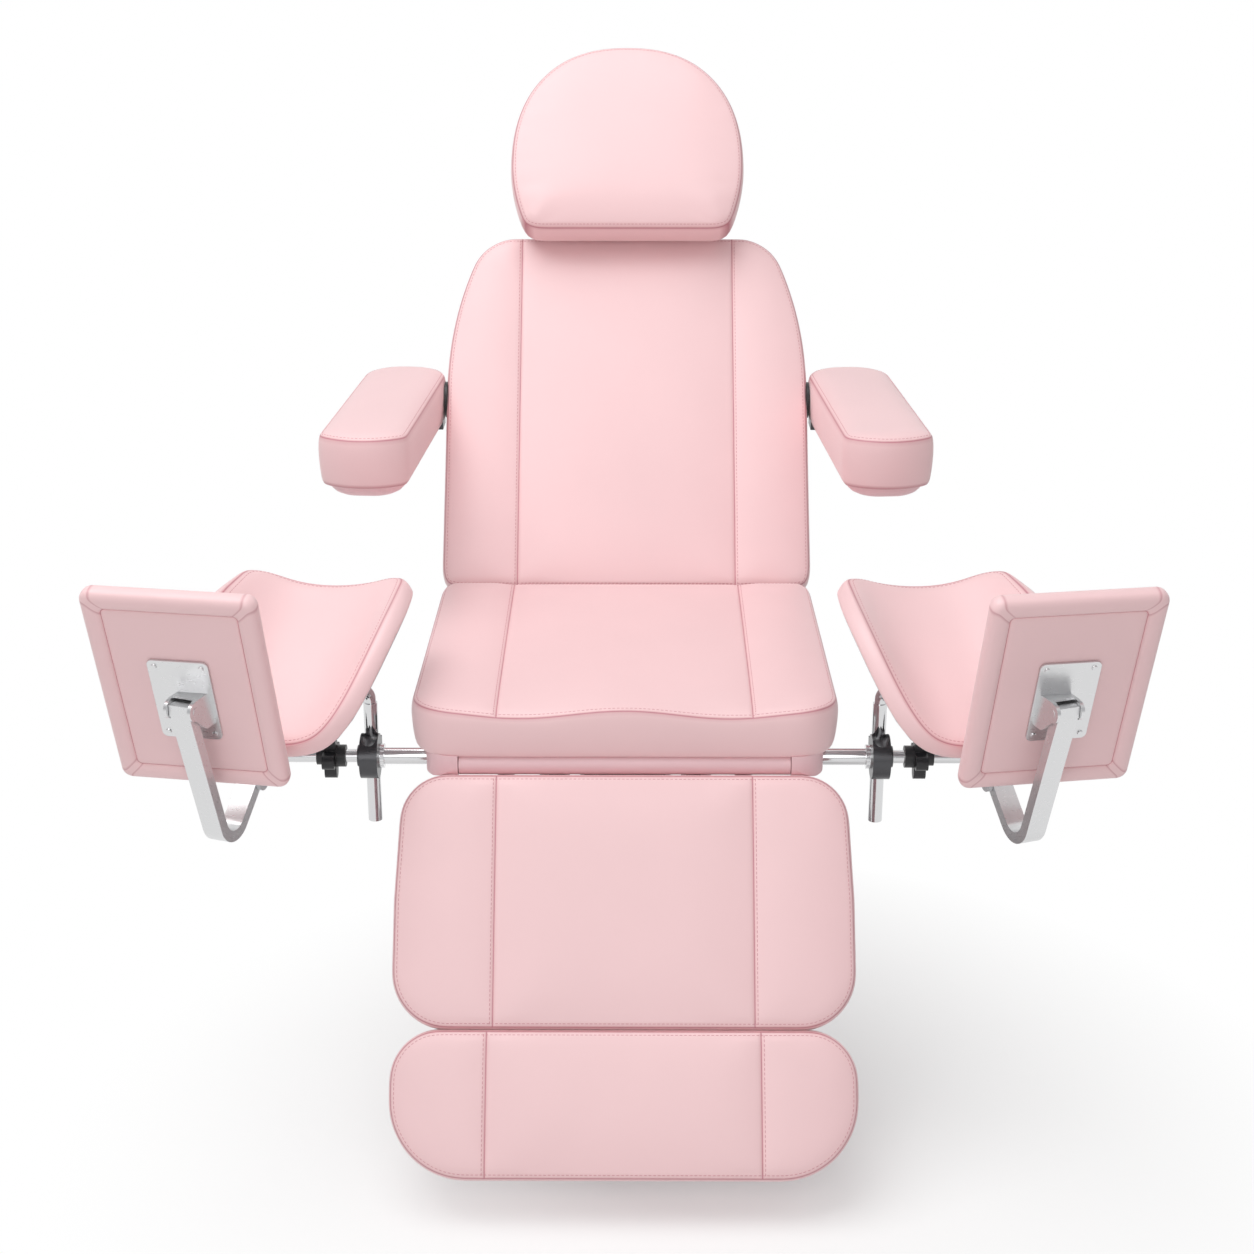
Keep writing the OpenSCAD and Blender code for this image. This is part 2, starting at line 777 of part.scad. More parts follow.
module back_tray() {
    depth = back_tube + tray_gap + tray_wall;
    pink() at_back() difference() {
        tray(back_tray_w - 2 * tray_r, back_l * 0.2, back_l - 4 * tray_wall, -back_t, depth, tray_r);
        box([-guide_x - guide_d, back_l / 2, -back_t - depth + tray_wall], [guide_x + guide_d, back_l, 0]);
        twin_box([back_tube_x, arm_s - arm_notch, -back_t - back_tube], [back_w, arm_s + arm_notch, 0]);
        twin_box([back_tube_x - back_tube / 2 - side_gap, back_l * 0.2 - over, -back_t - back_tube - side_gap],
            [back_tube_x + back_tube / 2 + side_gap, back_l * 0.2 + tray_r, 0]);
    }
}

module head_guides() {
    steel() at_back()
        for (i = [-1, 1])
            translate([i * guide_x, back_l * 0.64, head_rod_t])
                rotate([-90, 0, 0])
                    difference() {
                        cylinder(h = back_l * 0.33, d = guide_d);
                        translate([0, 0, -over])
                            cylinder(h = back_l, d = head_rod_d + 2 * run_gap);
                    }
}

// Headrest

head_s = back_l - head_lap;
head_pivot_drop = 26;
head_pivot = [head_s + head_l * 0.26, head_proud - head_t - head_pivot_drop];
head_bottom_w = 336;
head_wide_share = 0.34;
head_power = 2.37;
head_bottom_r = 22;
head_bar_s = head_pivot[0];
lug_x = 22;
lug_r = 11;
head_board_t = 12;
head_pin_d = 12;

function head_half(s) =
    let (s0 = head_l * head_wide_share, k = (s - s0) / (head_l - s0))
    s < s0
    ? (head_w - (head_w - head_bottom_w) * pow(1 - s / s0, 2)) / 2 - corner_in(s, head_bottom_r)
    : head_w / 2 * sqrt(max(0, 1 - k * k));

module head_cushion() {
    s0 = head_l * head_wide_share;
    turn = 81;
    rows = concat(
        [for (i = [0:2]) head_bottom_r * (1 - cos(45 * i))],
        [s0 / 2],
        [for (i = [0:7]) s0 + (head_l - s0) * sin(turn * i / 7) / sin(turn)]);
    reach = head_l;
    pink() at_back()
        translate([0, head_s, head_proud - head_t])
            pad(reach, rows,
                function(s) s < s0 ? head_half(s)
                    : head_w / 2 * pow(1 - pow((s - s0) / (head_l - s0) * sin(turn), head_power), 1 / head_power),
                head_t - pad_puff - pad_crown);
}

module head_board() {
    t1 = head_proud - head_t;
    steel() at_back() difference() {
        union() {
            translate([0, head_s + head_l * 0.45, t1 - head_board_t])
                linear_extrude(head_board_t)
                    round_rect(head_w * 0.6, head_l * 0.7, head_bottom_r);
            for (m = [0, 1])
                mirror([m, 0, 0])
                    plate_x(lug_x + ear_t + ear_gap, lug_x + 2 * ear_t + ear_gap) {
                        translate(head_pivot)
                            circle(lug_r);
                        translate([head_pivot[0] - lug_r, head_pivot[1]])
                            square([2 * lug_r, t1 - head_board_t - head_pivot[1]]);
                    }
        }
        translate([0, head_pivot[0], head_pivot[1]])
            rod_x(-head_w / 2, head_w / 2, head_pin_d + 2 * run_gap);
    }
}

module head_rods() {
    bar_t = head_rod_d / 2;
    end_s = head_bar_s + lug_r;
    start_s = back_l * 0.71;
    steel() at_back() {
        for (i = [-1, 1])
            translate([i * guide_x, start_s, head_rod_t])
                rotate([-90, 0, 0])
                    cylinder(h = end_s - start_s, d = head_rod_d);
        box([-guide_x - head_rod_d, head_bar_s - lug_r, head_rod_t - bar_t],
            [guide_x + head_rod_d, end_s, head_rod_t + bar_t]);
        for (m = [0, 1])
            mirror([m, 0, 0])
                plate_x(lug_x, lug_x + ear_t) {
                    translate(head_pivot)
                        circle(lug_r);
                    translate([head_pivot[0] - lug_r, head_rod_t])
                        square([2 * lug_r, head_pivot[1] - head_rod_t]);
                }
        translate([0, head_pivot[0], head_pivot[1]])
            rod_x(-lug_x - 2 * ear_t - 2 * ear_gap, lug_x + 2 * ear_t + 2 * ear_gap, head_pin_d);
    }
}

// Armrests

arm_rear = [371, 794];
arm_splay = 3.6;
arm_shell_h = 19;
arm_pivot = [725, 895];
arm_axis_x = 305;
arm_pin_d = 20;
arm_pin_l = 36;
arm_plate_t = 4;
arm_hub_d = 40;
arm_block = [36, 46, 62];
arm_front_r = 38;
arm_rear_r = 60;
arm_shell_in = [18, 24];
arm_shell_r = 48;
arm_shell_bevel = 26;
dish_shares = [[0, 0], [0.35, 0.1], [0.65, 0.3], [0.87, 0.6], [1, 1]];
arm_core_w = 70;
arm_core_t = 6;
arm_bar_half = 15;
arm_s = into_back(arm_pivot)[0];
arm_hub = into_back(arm_pivot);

// x across from the armrest's middle line, y back from its front end
module at_arm(side) {
    on_side(side)
        translate([arm_rear[0], arm_rear[1], 0])
            rotate([0, 0, arm_splay])
                translate([0, -arm_l, 0])
                    children();
}

module arm_pocket(side) {
    on_side(side)
        translate([arm_axis_x + side_gap * 3, arm_pivot[0], arm_top_z - arm_t])
            translate([-arm_block[0], -arm_block[1] / 2 - eps_gap, -arm_shell_h])
                cube([arm_block[0] * 2 + eps_gap + side_gap * 1, arm_block[1] + 2 * eps_gap,
                    arm_block[2] + arm_shell_h + eps_gap]);
}

module arm_cushion(side) {
    rows = pad_rows(arm_l, arm_front_r, arm_rear_r, 3, 3);
    pink() difference() {
        at_arm(side)
            translate([0, 0, arm_top_z - arm_t])
                pad(arm_l, rows,
                    function(s) arm_w / 2 - corner_in(s, arm_front_r) - corner_in(arm_l - s, arm_rear_r),
                    arm_t - pad_puff - pad_crown);
        arm_pocket(side);
    }
}

module arm_shell(side) {
    shell_w = arm_w - arm_shell_in[0];
    shell_l = arm_l - arm_shell_in[1];
    pink() difference() {
        at_arm(side)
            translate([0, shell_l + arm_shell_in[1] / 2, arm_top_z - arm_t])
                rotate([180, 0, 0])
                    pad_dish(shell_l, shell_w / 2, arm_shell_r, arm_shell_h);
        arm_core_form(side, eps_gap);
        arm_pocket(side);
    }
}

// A shallow dish, flat on z = 0, narrowing towards its top
module pad_dish(l, half, r, h) {
    hull()
        for (p = dish_shares)
            translate([0, l / 2, p[0] * (h - over)])
                linear_extrude(p[0] == 1 ? over : over / 2)
                    round_rect(2 * (half - p[1] * arm_shell_bevel), l - 2 * p[1] * arm_shell_bevel,
                        r - p[1] * arm_shell_bevel, $fn = 36);
}

module arm_core_form(side, grow) {
    at_arm(side)
        box([-arm_core_w / 2 - grow, arm_l * 0.1 - grow, arm_top_z - arm_t - arm_core_t - grow],
            [arm_core_w / 2 + grow, arm_l * 0.92 + grow, arm_top_z - arm_t + (grow > 0 ? over : 0)]);
}

module arm_core(side) {
    x0 = arm_axis_x + side_gap * 4;
    z0 = arm_top_z - arm_t;
    steel() difference() {
        union() {
            arm_core_form(side, 0);
            on_side(side)
                box([x0, arm_pivot[0] - arm_block[1] / 2, z0 - arm_core_t],
                    [x0 + arm_block[0], arm_pivot[0] + arm_block[1] / 2, z0 + arm_block[2]]);
        }
        on_side(side)
            translate([0, arm_pivot[0], arm_pivot[1]])
                rod_x(x0 - over, x0 + arm_block[0] + over, arm_pin_d + 2 * run_gap);
    }
}

module arm_bracket(side) {
    x1 = arm_axis_x;
    x0 = x1 - arm_plate_t;
    bar = arm_bar_half;
    dark() at_back() mirror([side < 0 ? 1 : 0, 0, 0]) {
        box([back_tube_x + back_tube / 2, arm_s - bar, -back_t - arm_plate_t - side_gap],
            [x1, arm_s + bar, -back_t - side_gap]);
        plate_x(x0, x1) {
            translate(arm_hub)
                circle(bar * 2);
            translate([arm_s - bar, -back_t - arm_plate_t - side_gap])
                square([2 * bar, arm_hub[1] + back_t + arm_plate_t + side_gap]);
        }
        translate([0, arm_hub[0], arm_hub[1]]) {
            rod_x(x1, x1 + arm_pin_l, arm_pin_d);
            rod_x(x1, x1 + side_gap, arm_hub_d);
        }
    }
}

// Legrest and footrest: y runs down the face from the legrest's top edge

leg_tube = [30, 20];
leg_tube_x = 150;
slide_gap = 0.5;
leg_tray_w = 570;
leg_top_w = 626;
leg_top_r = 60;
leg_low_r = 75;
foot_low_r = 100;
foot_channel_out = 6;
foot_top_r = 65;
foot_start = leg_l + foot_gap;
leg_seam = leg_t - pad_puff - pad_crown;

// The legrest's hinge in its own frame
leg_hinge = [
    -(leg_pivot[0] - leg_start[0]) * cos(leg_slope) - (leg_pivot[1] - leg_start[1]) * sin(leg_slope),
    -(leg_pivot[0] - leg_start[0]) * sin(leg_slope) + (leg_pivot[1] - leg_start[1]) * cos(leg_slope)];

function leg_half(s) = leg_top_w / 2 + (leg_w - leg_top_w) / 2 * min(1, s / (leg_l / 2));

module leg_cushion() {
    pink() at_leg()
        translate([0, 0, -leg_t])
            pad(leg_l, pad_rows(leg_l, leg_top_r, leg_low_r, 3, 3),
                function(s) leg_half(s) - corner_in(s, leg_top_r) - corner_in(leg_l - s, leg_low_r),
                leg_seam, channel_x);
}

module foot_cushion() {
    pink() at_leg()
        translate([0, foot_start, -leg_t])
            pad(foot_l, pad_rows(foot_l, foot_top_r, foot_low_r, 3, 2),
                function(s) leg_w / 2 - corner_in(s, foot_top_r) - corner_in(foot_l - s, foot_low_r),
                leg_seam, channel_x + foot_channel_out);
}

lever_half = 5;

module leg_frame() {
    t1 = -leg_t;
    t0 = t1 - leg_tube[1];
    lever_at = leg_hinge + [leg_lever[0], leg_lever[1]];
    steel() at_leg() difference() {
        union() {
            for (i = [-1, 1])
                translate([i * leg_tube_x, cross_w, t0 + leg_tube[1] / 2])
                    tube_y(leg_tube[0], leg_tube[1], leg_l - 2 * cross_w / 2 - cross_w, rail_wall);
            for (s = [cross_w + over, leg_l * 0.7])
                box([-leg_tube_x + leg_tube[0] / 2, s, t0], [leg_tube_x - leg_tube[0] / 2, s + cross_w, t1]);
            for (m = [0, 1])
                mirror([m, 0, 0])
                    plate_x(leg_ear_x, leg_ear_x + ear_t) {
                        translate(leg_hinge)
                            circle(shaft_d * 3 / 4);
                        polygon([leg_hinge - [shaft_d * 3 / 4, 0], leg_hinge + [shaft_d * 3 / 4, 0],
                            leg_hinge + [shaft_d * 3 / 4, -boss_r - 2 * rail_wall - side_gap], [0, t1 - 2 * side_gap],
                            [2 * cross_w, t1 - 2 * side_gap], [2 * cross_w, t0], [leg_hinge[0] + 2 * rail_wall, t0],
                            leg_hinge + [-shaft_d * 3 / 4, -rail_w]]);
                    }
            for (x = [-act_x - act_eye_w / 2 - side_gap - bracket_t, -act_x + act_eye_w / 2 + side_gap])
                mirror([1, 0, 0])
                    plate_x(x, x + bracket_t) {
                        translate(lever_at)
                            circle(boss_r);
                        polygon([lever_at - [boss_r, 0], [cross_w + over, t1 - side_gap],
                            [2 * cross_w, t1 - side_gap], lever_at + [boss_r, 0]]);
                    }
            translate([0, lever_at[0], lever_at[1]])
                rod_x(act_x - act_eye_w / 2 - side_gap - bracket_t, act_x + act_eye_w / 2 + side_gap + bracket_t,
                    act_pin_d);
        }
        translate([0, leg_hinge[0], leg_hinge[1]])
            rod_x(-seat_w / 2, seat_w / 2, shaft_d + 2 * run_gap);
        difference() {
            translate([0, lever_at[0], lever_at[1]])
                rod_x(act_x - act_eye_w / 2 - side_gap, act_x + act_eye_w / 2 + side_gap,
                    act_pin_d + act_rod_d / 2 + 4 * eye_play + 2 * side_gap);
            translate([0, lever_at[0], lever_at[1]])
                rod_x(act_x - act_eye_w, act_x + act_eye_w, act_pin_d);
        }
    }
}

leg_tray_t = 4;

module leg_tray() {
    depth = leg_tube[1] + leg_tray_t + tray_gap;
    pink() at_leg() difference() {
        tray(leg_tray_w, leg_l * 0.32, leg_l - 2 * tray_wall, -leg_t, depth, tray_r);
        twin_box([leg_tube_x - leg_tube[0] / 2 - side_gap, leg_l / 4, -leg_t - leg_tube[1] - side_gap],
            [leg_tube_x + leg_tube[0] / 2 + side_gap, leg_l, 0]);
    }
}

module foot_rails() {
    w = leg_tube[0] - 2 * rail_wall - 2 * slide_gap;
    h = leg_tube[1] - 2 * rail_wall - 2 * slide_gap;
    t_mid = -leg_t - leg_tube[1] / 2;
    steel() at_leg() {
        for (i = [-1, 1])
            translate([i * leg_tube_x, leg_l * 0.52, t_mid - h / 2])
                translate([-w / 2, 0, 0])
                    cube([w, foot_start + foot_l * 0.85 - leg_l * 0.52, h]);
        box([-leg_tube_x - leg_tube[0], foot_start + foot_l * 0.08, t_mid + h / 2],
            [leg_tube_x + leg_tube[0], foot_start + foot_l * 0.88, -leg_t]);
    }
}

module foot_tray() {
    depth = leg_tube[1] + leg_tray_t + tray_gap;
    y0 = foot_start + 3 * tray_wall;
    pink() at_leg() difference() {
        tray(leg_tray_w, y0, foot_start + foot_l - 2 * tray_wall, -leg_t, depth, tray_r);
        twin_box([leg_tube_x - leg_tube[0] / 2, foot_start, -leg_t - leg_tube[1]],
            [leg_tube_x + leg_tube[0] / 2, foot_start + foot_l / 2, 0]);
    }
}

// Actuators, drawn along y from their rear pivot

leg_pin = [
    leg_pivot[0] - leg_lever[0] * cos(leg_slope) - leg_lever[1] * sin(leg_slope),
    leg_pivot[1] - leg_lever[0] * sin(leg_slope) + leg_lever[1] * cos(leg_slope)];
back_pin = [
    back_pivot[0] + back_lever[0] * sin(back_lean) - back_lever[1] * cos(back_lean),
    back_pivot[1] + back_lever[0] * cos(back_lean) + back_lever[1] * sin(back_lean)];
leg_act_l = norm(leg_pin - leg_act);
back_act_l = norm(back_pin - back_act);
leg_stroke = 100;
back_stroke = 110;
tube_floor = 16;

module at_actuator(x, from, to) {
    d = to - from;
    placed()
        translate([x, from[0], from[1]])
            rotate([atan2(d[1], d[0]), 0, 0])
                children();
}

// A tube with its rear eye and pin at the origin, and its motor above or below the nose
module actuator_body(l, below) {
    motor_z = below * (act_d + motor_d) / 2;
    difference() {
        union() {
            rod_x(-act_eye_w / 2, act_eye_w / 2, 2 * boss_r - 2 * side_gap);
            box([-act_eye_w / 2, 0, 2 * side_gap - boss_r], [act_eye_w / 2, act_nose + over, boss_r - 2 * side_gap]);
            translate([0, act_nose, 0])
                rotate([-90, 0, 0])
                    cylinder(h = l - act_nose, d = act_d);
            box([-act_d / 3, act_nose, min(0, motor_z)], [act_d / 3, act_nose + act_d, max(0, motor_z)]);
            translate([0, act_nose, motor_z])
                rotate([-90, 0, 0])
                    cylinder(h = motor_l, d = motor_d);
        }
        translate([0, act_nose + tube_floor, 0])
            rotate([-90, 0, 0])
                cylinder(h = l, d = act_rod_d + 2 * run_gap);
    }
    rod_x(-act_eye_w / 2 - bracket_t - side_gap, act_eye_w / 2 + bracket_t + side_gap, act_pin_d);
}

module leg_actuator() {
    dark() at_actuator(-act_x, leg_act, leg_pin)
        actuator_body(leg_act_l - act_d * 1.5, 1);
}

module back_actuator() {
    dark() at_actuator(act_x, back_act, back_pin)
        actuator_body(back_act_l - act_d * 3.5, -1);
}

// A plunger from start to l, ending in an eye that leaves play round its pin
module plunger(start, l) {
    eye_d = act_pin_d + 2 * eye_play;
    eye_half = act_eye_w / 2 - 2 * side_gap;
    difference() {
        union() {
            translate([0, start, 0])
                rotate([-90, 0, 0])
                    cylinder(h = l - start - eye_d / 2 - over, d = act_rod_d);
            translate([0, l, 0])
                rod_x(-eye_half, eye_half, eye_d + act_rod_d / 2);
        }
        translate([0, l, 0])
            rod_x(-act_eye_w, act_eye_w, eye_d);
    }
}

module leg_actuator_rod() {
    steel() at_actuator(-act_x, leg_act, leg_pin)
        plunger(leg_act_l - act_d * 1.5 - leg_stroke - tube_floor, leg_act_l);
}

module back_actuator_rod() {
    steel() at_actuator(act_x, back_act, back_pin)
        plunger(back_act_l - act_d * 3.5 - back_stroke - tube_floor + act_d / 2, back_act_l);
}

// Leg supports, modelled on the right

clamp_t = 26.5;
post_back = 24;
post_low_z = 389;
post_high_z = 580;
rod_inner_x = 137;
rod_end_x = 520;
collar_d = 36;
collar_w = 8;
collar_flutes = 16;
washer_w = 5;
washer_d = 32;
knob_x = 437;
star_t = 18;
hub_in = [33, 14];
hub_out = [27, 11];
lobe_d = 22;
bent_d = 17;
bent_r = 18;
bent_z = 603;
bent_top = 655;
knee_rear = [434, 190, 764];
knee_yaw = 11;
knee_half = [112, 135];
knee_depth = [20, 128];
knee_power = 2.6;
knee_full_share = 0.3;
knee_end_share = 0.42;
knee_shell_t = 4;
knee_edge = 5;
knee_grow_share = 0.02;
knee_row_shares = [0, 0.02, 0.07, 0.2, 0.35, 0.5, 0.63, 0.75, 0.86, 0.94, 0.985, 1];
knee_col_shares = [1, 0.93, 0.78, 0.55, 0.28, 0, -0.28, -0.55, -0.78, -0.93, -1];
knee_pivot = [452, 78];
knee_boss_d = 40;

module support_rod(side) {
    clamp_side = clamp_x - clamp_t / 2;
    steel() on_side(side)
        translate([0, rod_y, rod_z]) {
            rod_x(rod_inner_x, clamp_side - run_gap, rod_d);
            rod_x(clamp_side - over, rod_end_x, rod_end_d);
            difference() {
                rod_x(clamp_side - collar_w - run_gap, clamp_side - run_gap, collar_d);
                for (i = [0:collar_flutes - 1])
                    rotate([360 * i / collar_flutes, 0, 0])
                        translate([0, 0, collar_d / 2])
                            rod_x(clamp_side - collar_w - over, clamp_side - collar_w / 3, collar_d / 14, $fn = 24);
            }
        }
}

module post_clamp(side) {
    notch_depth = 9;
    notch_half = clamp_t / 2 - side_gap;
    notch_r = (notch_half * notch_half + notch_depth * notch_depth) / (2 * notch_depth);
    heel = post_back + post_d / 2 + socket_wall;
    dark() on_side(side)
        translate([clamp_x, rod_y, rod_z])
            difference() {
                union() {
                    rod_x(-clamp_t / 2, clamp_t / 2, clamp_d);
                    box([-clamp_t / 2, 0, -clamp_d / 4], [clamp_t / 2, heel, clamp_d / 4]);
                    rod_x(clamp_t / 2 - over, clamp_t / 2 + washer_w, washer_d);
                }
                rod_x(-clamp_t, clamp_t, rod_end_d + 2 * run_gap);
                translate([0, post_back, -clamp_d])
                    cylinder(h = 2 * clamp_d, d = post_d + 2 * run_gap);
                translate([0, clamp_d, clamp_d / 2 - notch_depth + notch_r])
                    rotate([90, 0, 0])
                        cylinder(h = 2 * clamp_d, r = notch_r);
            }
}

module star_knob(side) {
    dark() on_side(side)
        translate([knob_x, rod_y, rod_z])
            difference() {
                union() {
                    translate([-star_t / 2, 0, 0])
                        rotate([0, 90, 0])
                            linear_extrude(star_t)
                                for (i = [0:3])
                                    rotate(90 * i) {
                                        translate([star_d / 2 - lobe_d / 2, 0])
                                            circle(d = lobe_d);
                                        translate([0, -lobe_d / 2])
                                            square([star_d / 2 - lobe_d / 2, lobe_d]);
                                    }
                    rod_x(-star_t / 2 - hub_in[1], 0, hub_in[0]);
                    rod_x(0, star_t / 2 + hub_out[1], hub_out[0]);
                }
                rod_x(-star_d, star_d, rod_end_d + 2 * run_gap);
            }
}

// A rod of diameter d along z, bent over to run level for a length and bent up again
module bent_rod(d, r, rise, level, top) {
    cylinder(h = rise - r, d = d);
    translate([r, 0, rise - r])
        rotate([90, 0, 180])
            rotate_extrude(angle = 90)
                translate([r, 0])
                    circle(d = d);
    translate([r, 0, rise])
        rod_x(0, level - 2 * r, d);
    translate([level - r, 0, rise + r])
        rotate([90, 0, 0])
            rotate([0, 0, -90])
                rotate_extrude(angle = 90)
                    translate([r, 0])
                        circle(d = d);
    translate([level, 0, rise + r])
        cylinder(h = top - rise - r, d = d);
}

module post(side) {
    y = rod_y + post_back;
    hole_d = 4;
    step = [knee_pivot[0] - clamp_x, knee_pivot[1] - y];
    steel() on_side(side) {
        difference() {
            translate([clamp_x, y, post_low_z])
                cylinder(h = post_high_z - post_low_z, d = post_d);
            translate([clamp_x, y - post_d, rod_z - clamp_d / 2 - hole_d])
                rotate([-90, 0, 0])
                    cylinder(h = post_d, d = hole_d);
        }
        translate([clamp_x, y, post_high_z - over])
            rotate([0, 0, atan2(step[1], step[0])])
                bent_rod(bent_d, bent_r, bent_z - post_high_z + over, norm(step), bent_top - post_high_z + over);
    }
}

// The saddle's surface: a runs across from -1 to 1 and l down the slope from 0 to 1
function knee_point(a, l) =
    let (h = knee_half[0] + (knee_half[1] - knee_half[0]) * l,
        d = knee_depth[0] + (knee_depth[1] - knee_depth[0]) * l, run = knee_l * cos(knee_slope) * l)
    [knee_rear[0] + sin(knee_yaw) * run + cos(knee_yaw) * h * a,
        knee_rear[1] - cos(knee_yaw) * run + sin(knee_yaw) * h * a,
        knee_rear[2] - knee_l * sin(knee_slope) * l + d * pow(abs(a), knee_power)];
function knee_normal(a, l) =
    let (e = 0.01, u = knee_point(a + e, l) - knee_point(a - e, l), v = knee_point(a, l - e) - knee_point(a, l + e),
        n = cross(u, v))
    n / norm(n);
// Half extent of the saddle across at l: rounded at the knee, sweeping in to the foot end
function knee_extent(l) =
    let (rear = 0.12, t = (l - knee_full_share) / (1 - knee_full_share),
        front = t < 0 ? 1 : knee_end_share + (1 - knee_end_share) * sqrt(max(0, 1 - t * t)))
    l < rear ? 1 - 0.2 * (1 - sqrt(1 - pow(1 - l / rear, 2))) : front;
function knee_offset(a, l, t) = knee_point(a, l) - t * knee_normal(a, l);

// A curved slab between two offsets of the saddle's surface, its edge rounded at mid depth
module knee_slab(t0, t1, edge, grow) {
    r = len(knee_row_shares);
    c = len(knee_col_shares);
    last = [r - 1, c - 1];
    upper = [for (i = [0:r - 1], j = [0:c - 1])
        let (l = knee_row_shares[i], a = knee_col_shares[j] * knee_extent(l),
            rim = i == 0 || j == 0 || i == last[0] || j == last[1])
        knee_offset(a, l, t0 + (rim ? edge : 0))];
    lower = [for (i = [0:r - 1], j = [0:c - 1])
        let (l = knee_row_shares[i], a = knee_col_shares[j] * knee_extent(l))
        knee_offset(a, l, t1)];
    loop = grid_loop(r, c);
    middle = [for (p = loop)
        let (i = floor(p / c), j = p % c, l = knee_row_shares[i])
        knee_offset(knee_col_shares[j] * knee_extent(l) * (1 + grow), l + (l - 0.5) * grow * 2,
            t0 + (t1 - t0) * 0.55)];
    first = r * c;
    mid_ring = [for (p = [0:len(loop) - 1]) 2 * first + p];
    low_loop = [for (p = loop) first + p];
    polyhedron(concat(upper, lower, middle), concat(top_faces(r, c), band_faces(loop, mid_ring),
        band_faces(mid_ring, low_loop), [for (f = top_faces(r, c)) [first + f[0], first + f[2], first + f[1]]]));
}

module knee_cushion(side) {
    pink() on_side(side)
        knee_slab(0, knee_t, knee_edge, knee_grow_share);
}

hanger_t = 6;
hanger_r = 13;
hanger_l = 95;
bar_w = 30;
bar_t = 16;
bar_tab_l = 20;
bar_pin_d = 10;

module knee_shell(side) {
    t0 = knee_t + eps_gap;
    boss_z = bent_z + bent_r + 2 * side_gap;
    steel() on_side(side)
        difference() {
            union() {
                knee_slab(t0, t0 + knee_shell_t, 0, 0);
                difference() {
                    union() {
                        translate([knee_pivot[0], knee_pivot[1], boss_z])
                            cylinder(h = 2 * knee_boss_d, d = knee_boss_d);
                        at_bar()
                            plate_x(-bar_w / 2 - hanger_t - side_gap / 2, -bar_w / 2 - side_gap / 2) {
                                translate(bar_bolt)
                                    circle(hanger_r);
                                translate(bar_bolt - [hanger_r, 0])
                                    square([2 * hanger_r, hanger_l]);
                            }
                    }
                    knee_cutter(t0 + knee_shell_t / 2);
                }
            }
            translate([knee_pivot[0], knee_pivot[1], boss_z - over])
                cylinder(h = bent_top - boss_z + over + side_gap / 2, d = bent_d + 2 * run_gap);
            at_bar()
                translate([0, bar_bolt[0], bar_bolt[1]])
                    rod_x(-bar_w, bar_w, bar_pin_d + 2 * run_gap);
        }
}

// Everything above a depth t below the saddle's surface
module knee_cutter(t) {
    r = len(knee_row_shares);
    c = len(knee_col_shares);
    lower = [for (l = knee_row_shares, q = knee_col_shares) knee_offset(q * knee_extent(l), l, t)];
    upper = [for (p = lower) [p[0], p[1], knee_rear[2] + knee_l]];
    loop = grid_loop(r, c);
    first = r * c;
    polyhedron(concat(upper, lower), concat(top_faces(r, c), band_faces(loop, [for (p = loop) first + p]),
        [for (f = top_faces(r, c)) [first + f[0], first + f[2], first + f[1]]]));
}

// The foot bar's own frame: y runs back and z up, from the bar's top end
bar_top = [580, -180, 707];
bar_yaw = 20;
bar_lean = 16.5;
bar_rise = 42;
bar_bend_r = 32;
bar_bolt_in = 10;
bar_front_l = 205;
bar_rear_l = 75;

module at_bar() {
    translate(bar_top)
        rotate([0, 0, bar_yaw])
            children();
}

bar_turn = [bar_front_l * sin(bar_lean), -bar_front_l * cos(bar_lean)];
bar_centre = bar_turn + bar_bend_r * [cos(bar_lean), sin(bar_lean)];
bar_low = bar_centre + bar_bend_r * [sin(bar_rise), -cos(bar_rise)];
bar_end = bar_low + bar_rear_l * [cos(bar_rise), sin(bar_rise)];
bar_bolt = bar_end - bar_bolt_in * [cos(bar_rise), sin(bar_rise)];

module foot_bar(side) {
    core = bar_t * 0.9;
    steel() on_side(side)
        at_bar() {
            translate([-bar_w / 2, 0, 0])
                plate_x(0, bar_w) {
                    rotate(bar_lean - 90) {
                        translate([0, -bar_t / 2])
                            square([bar_front_l, bar_t]);
                        translate([bar_front_l - bar_t / 2, -core / 2])
                            square([bar_t, core]);
                    }
                    translate([-bar_t / 2, -bar_t / 2])
                        square([bar_tab_l + bar_t / 2, bar_t]);
                    translate(bar_centre)
                        intersection() {
                            difference() {
                                circle(bar_bend_r + bar_t / 2);
                                circle(bar_bend_r - bar_t / 2);
                            }
                            polygon([[0, 0], 3 * bar_bend_r * [-cos(bar_lean), -sin(bar_lean)],
                                3 * bar_bend_r * [-0.3, -1.2], 3 * bar_bend_r * [sin(bar_rise), -cos(bar_rise)]]);
                        }
                    translate(bar_low)
                        rotate(bar_rise) {
                            translate([0, -bar_t / 2])
                                square([bar_rear_l, bar_t]);
                            translate([-bar_t / 2, -core / 2])
                                square([bar_t, core]);
                        }
                }
            translate([0, bar_bolt[0], bar_bolt[1]])
                rod_x(-bar_w / 2 - hanger_t - 4 * side_gap, bar_w / 2, bar_pin_d);
            rod_x(-bar_w / 2 - cheek_t - side_gap, bar_w / 2 + cheek_t + side_gap, bar_pin_d);
            rod_x(-bar_w / 2, bar_w / 2, bar_pin_d * 1.5);
        }
}

// The foot board's frame: x across, y up the board, z towards the front, from its middle
board_at = [581, -137, 720];
board_yaw = 9.3;
board_lean = 17;
plate_size = [84, 130, 3];
plate_drop = 9;
board_r = 16;
board_border = 30;
board_steps = [0, 4, 13, 28, 32];
board_side_shares = [0.5, 0.15, 0];
board_draw = [0, 3, 9];
roof_gap = 3;
roof_t = 3;
roof_in = 10;
gusset_h = 34;
plate_r = 8;
cheek_t = 5;
screw_d = 8;
screw_h = 2;
panel_in = 3;

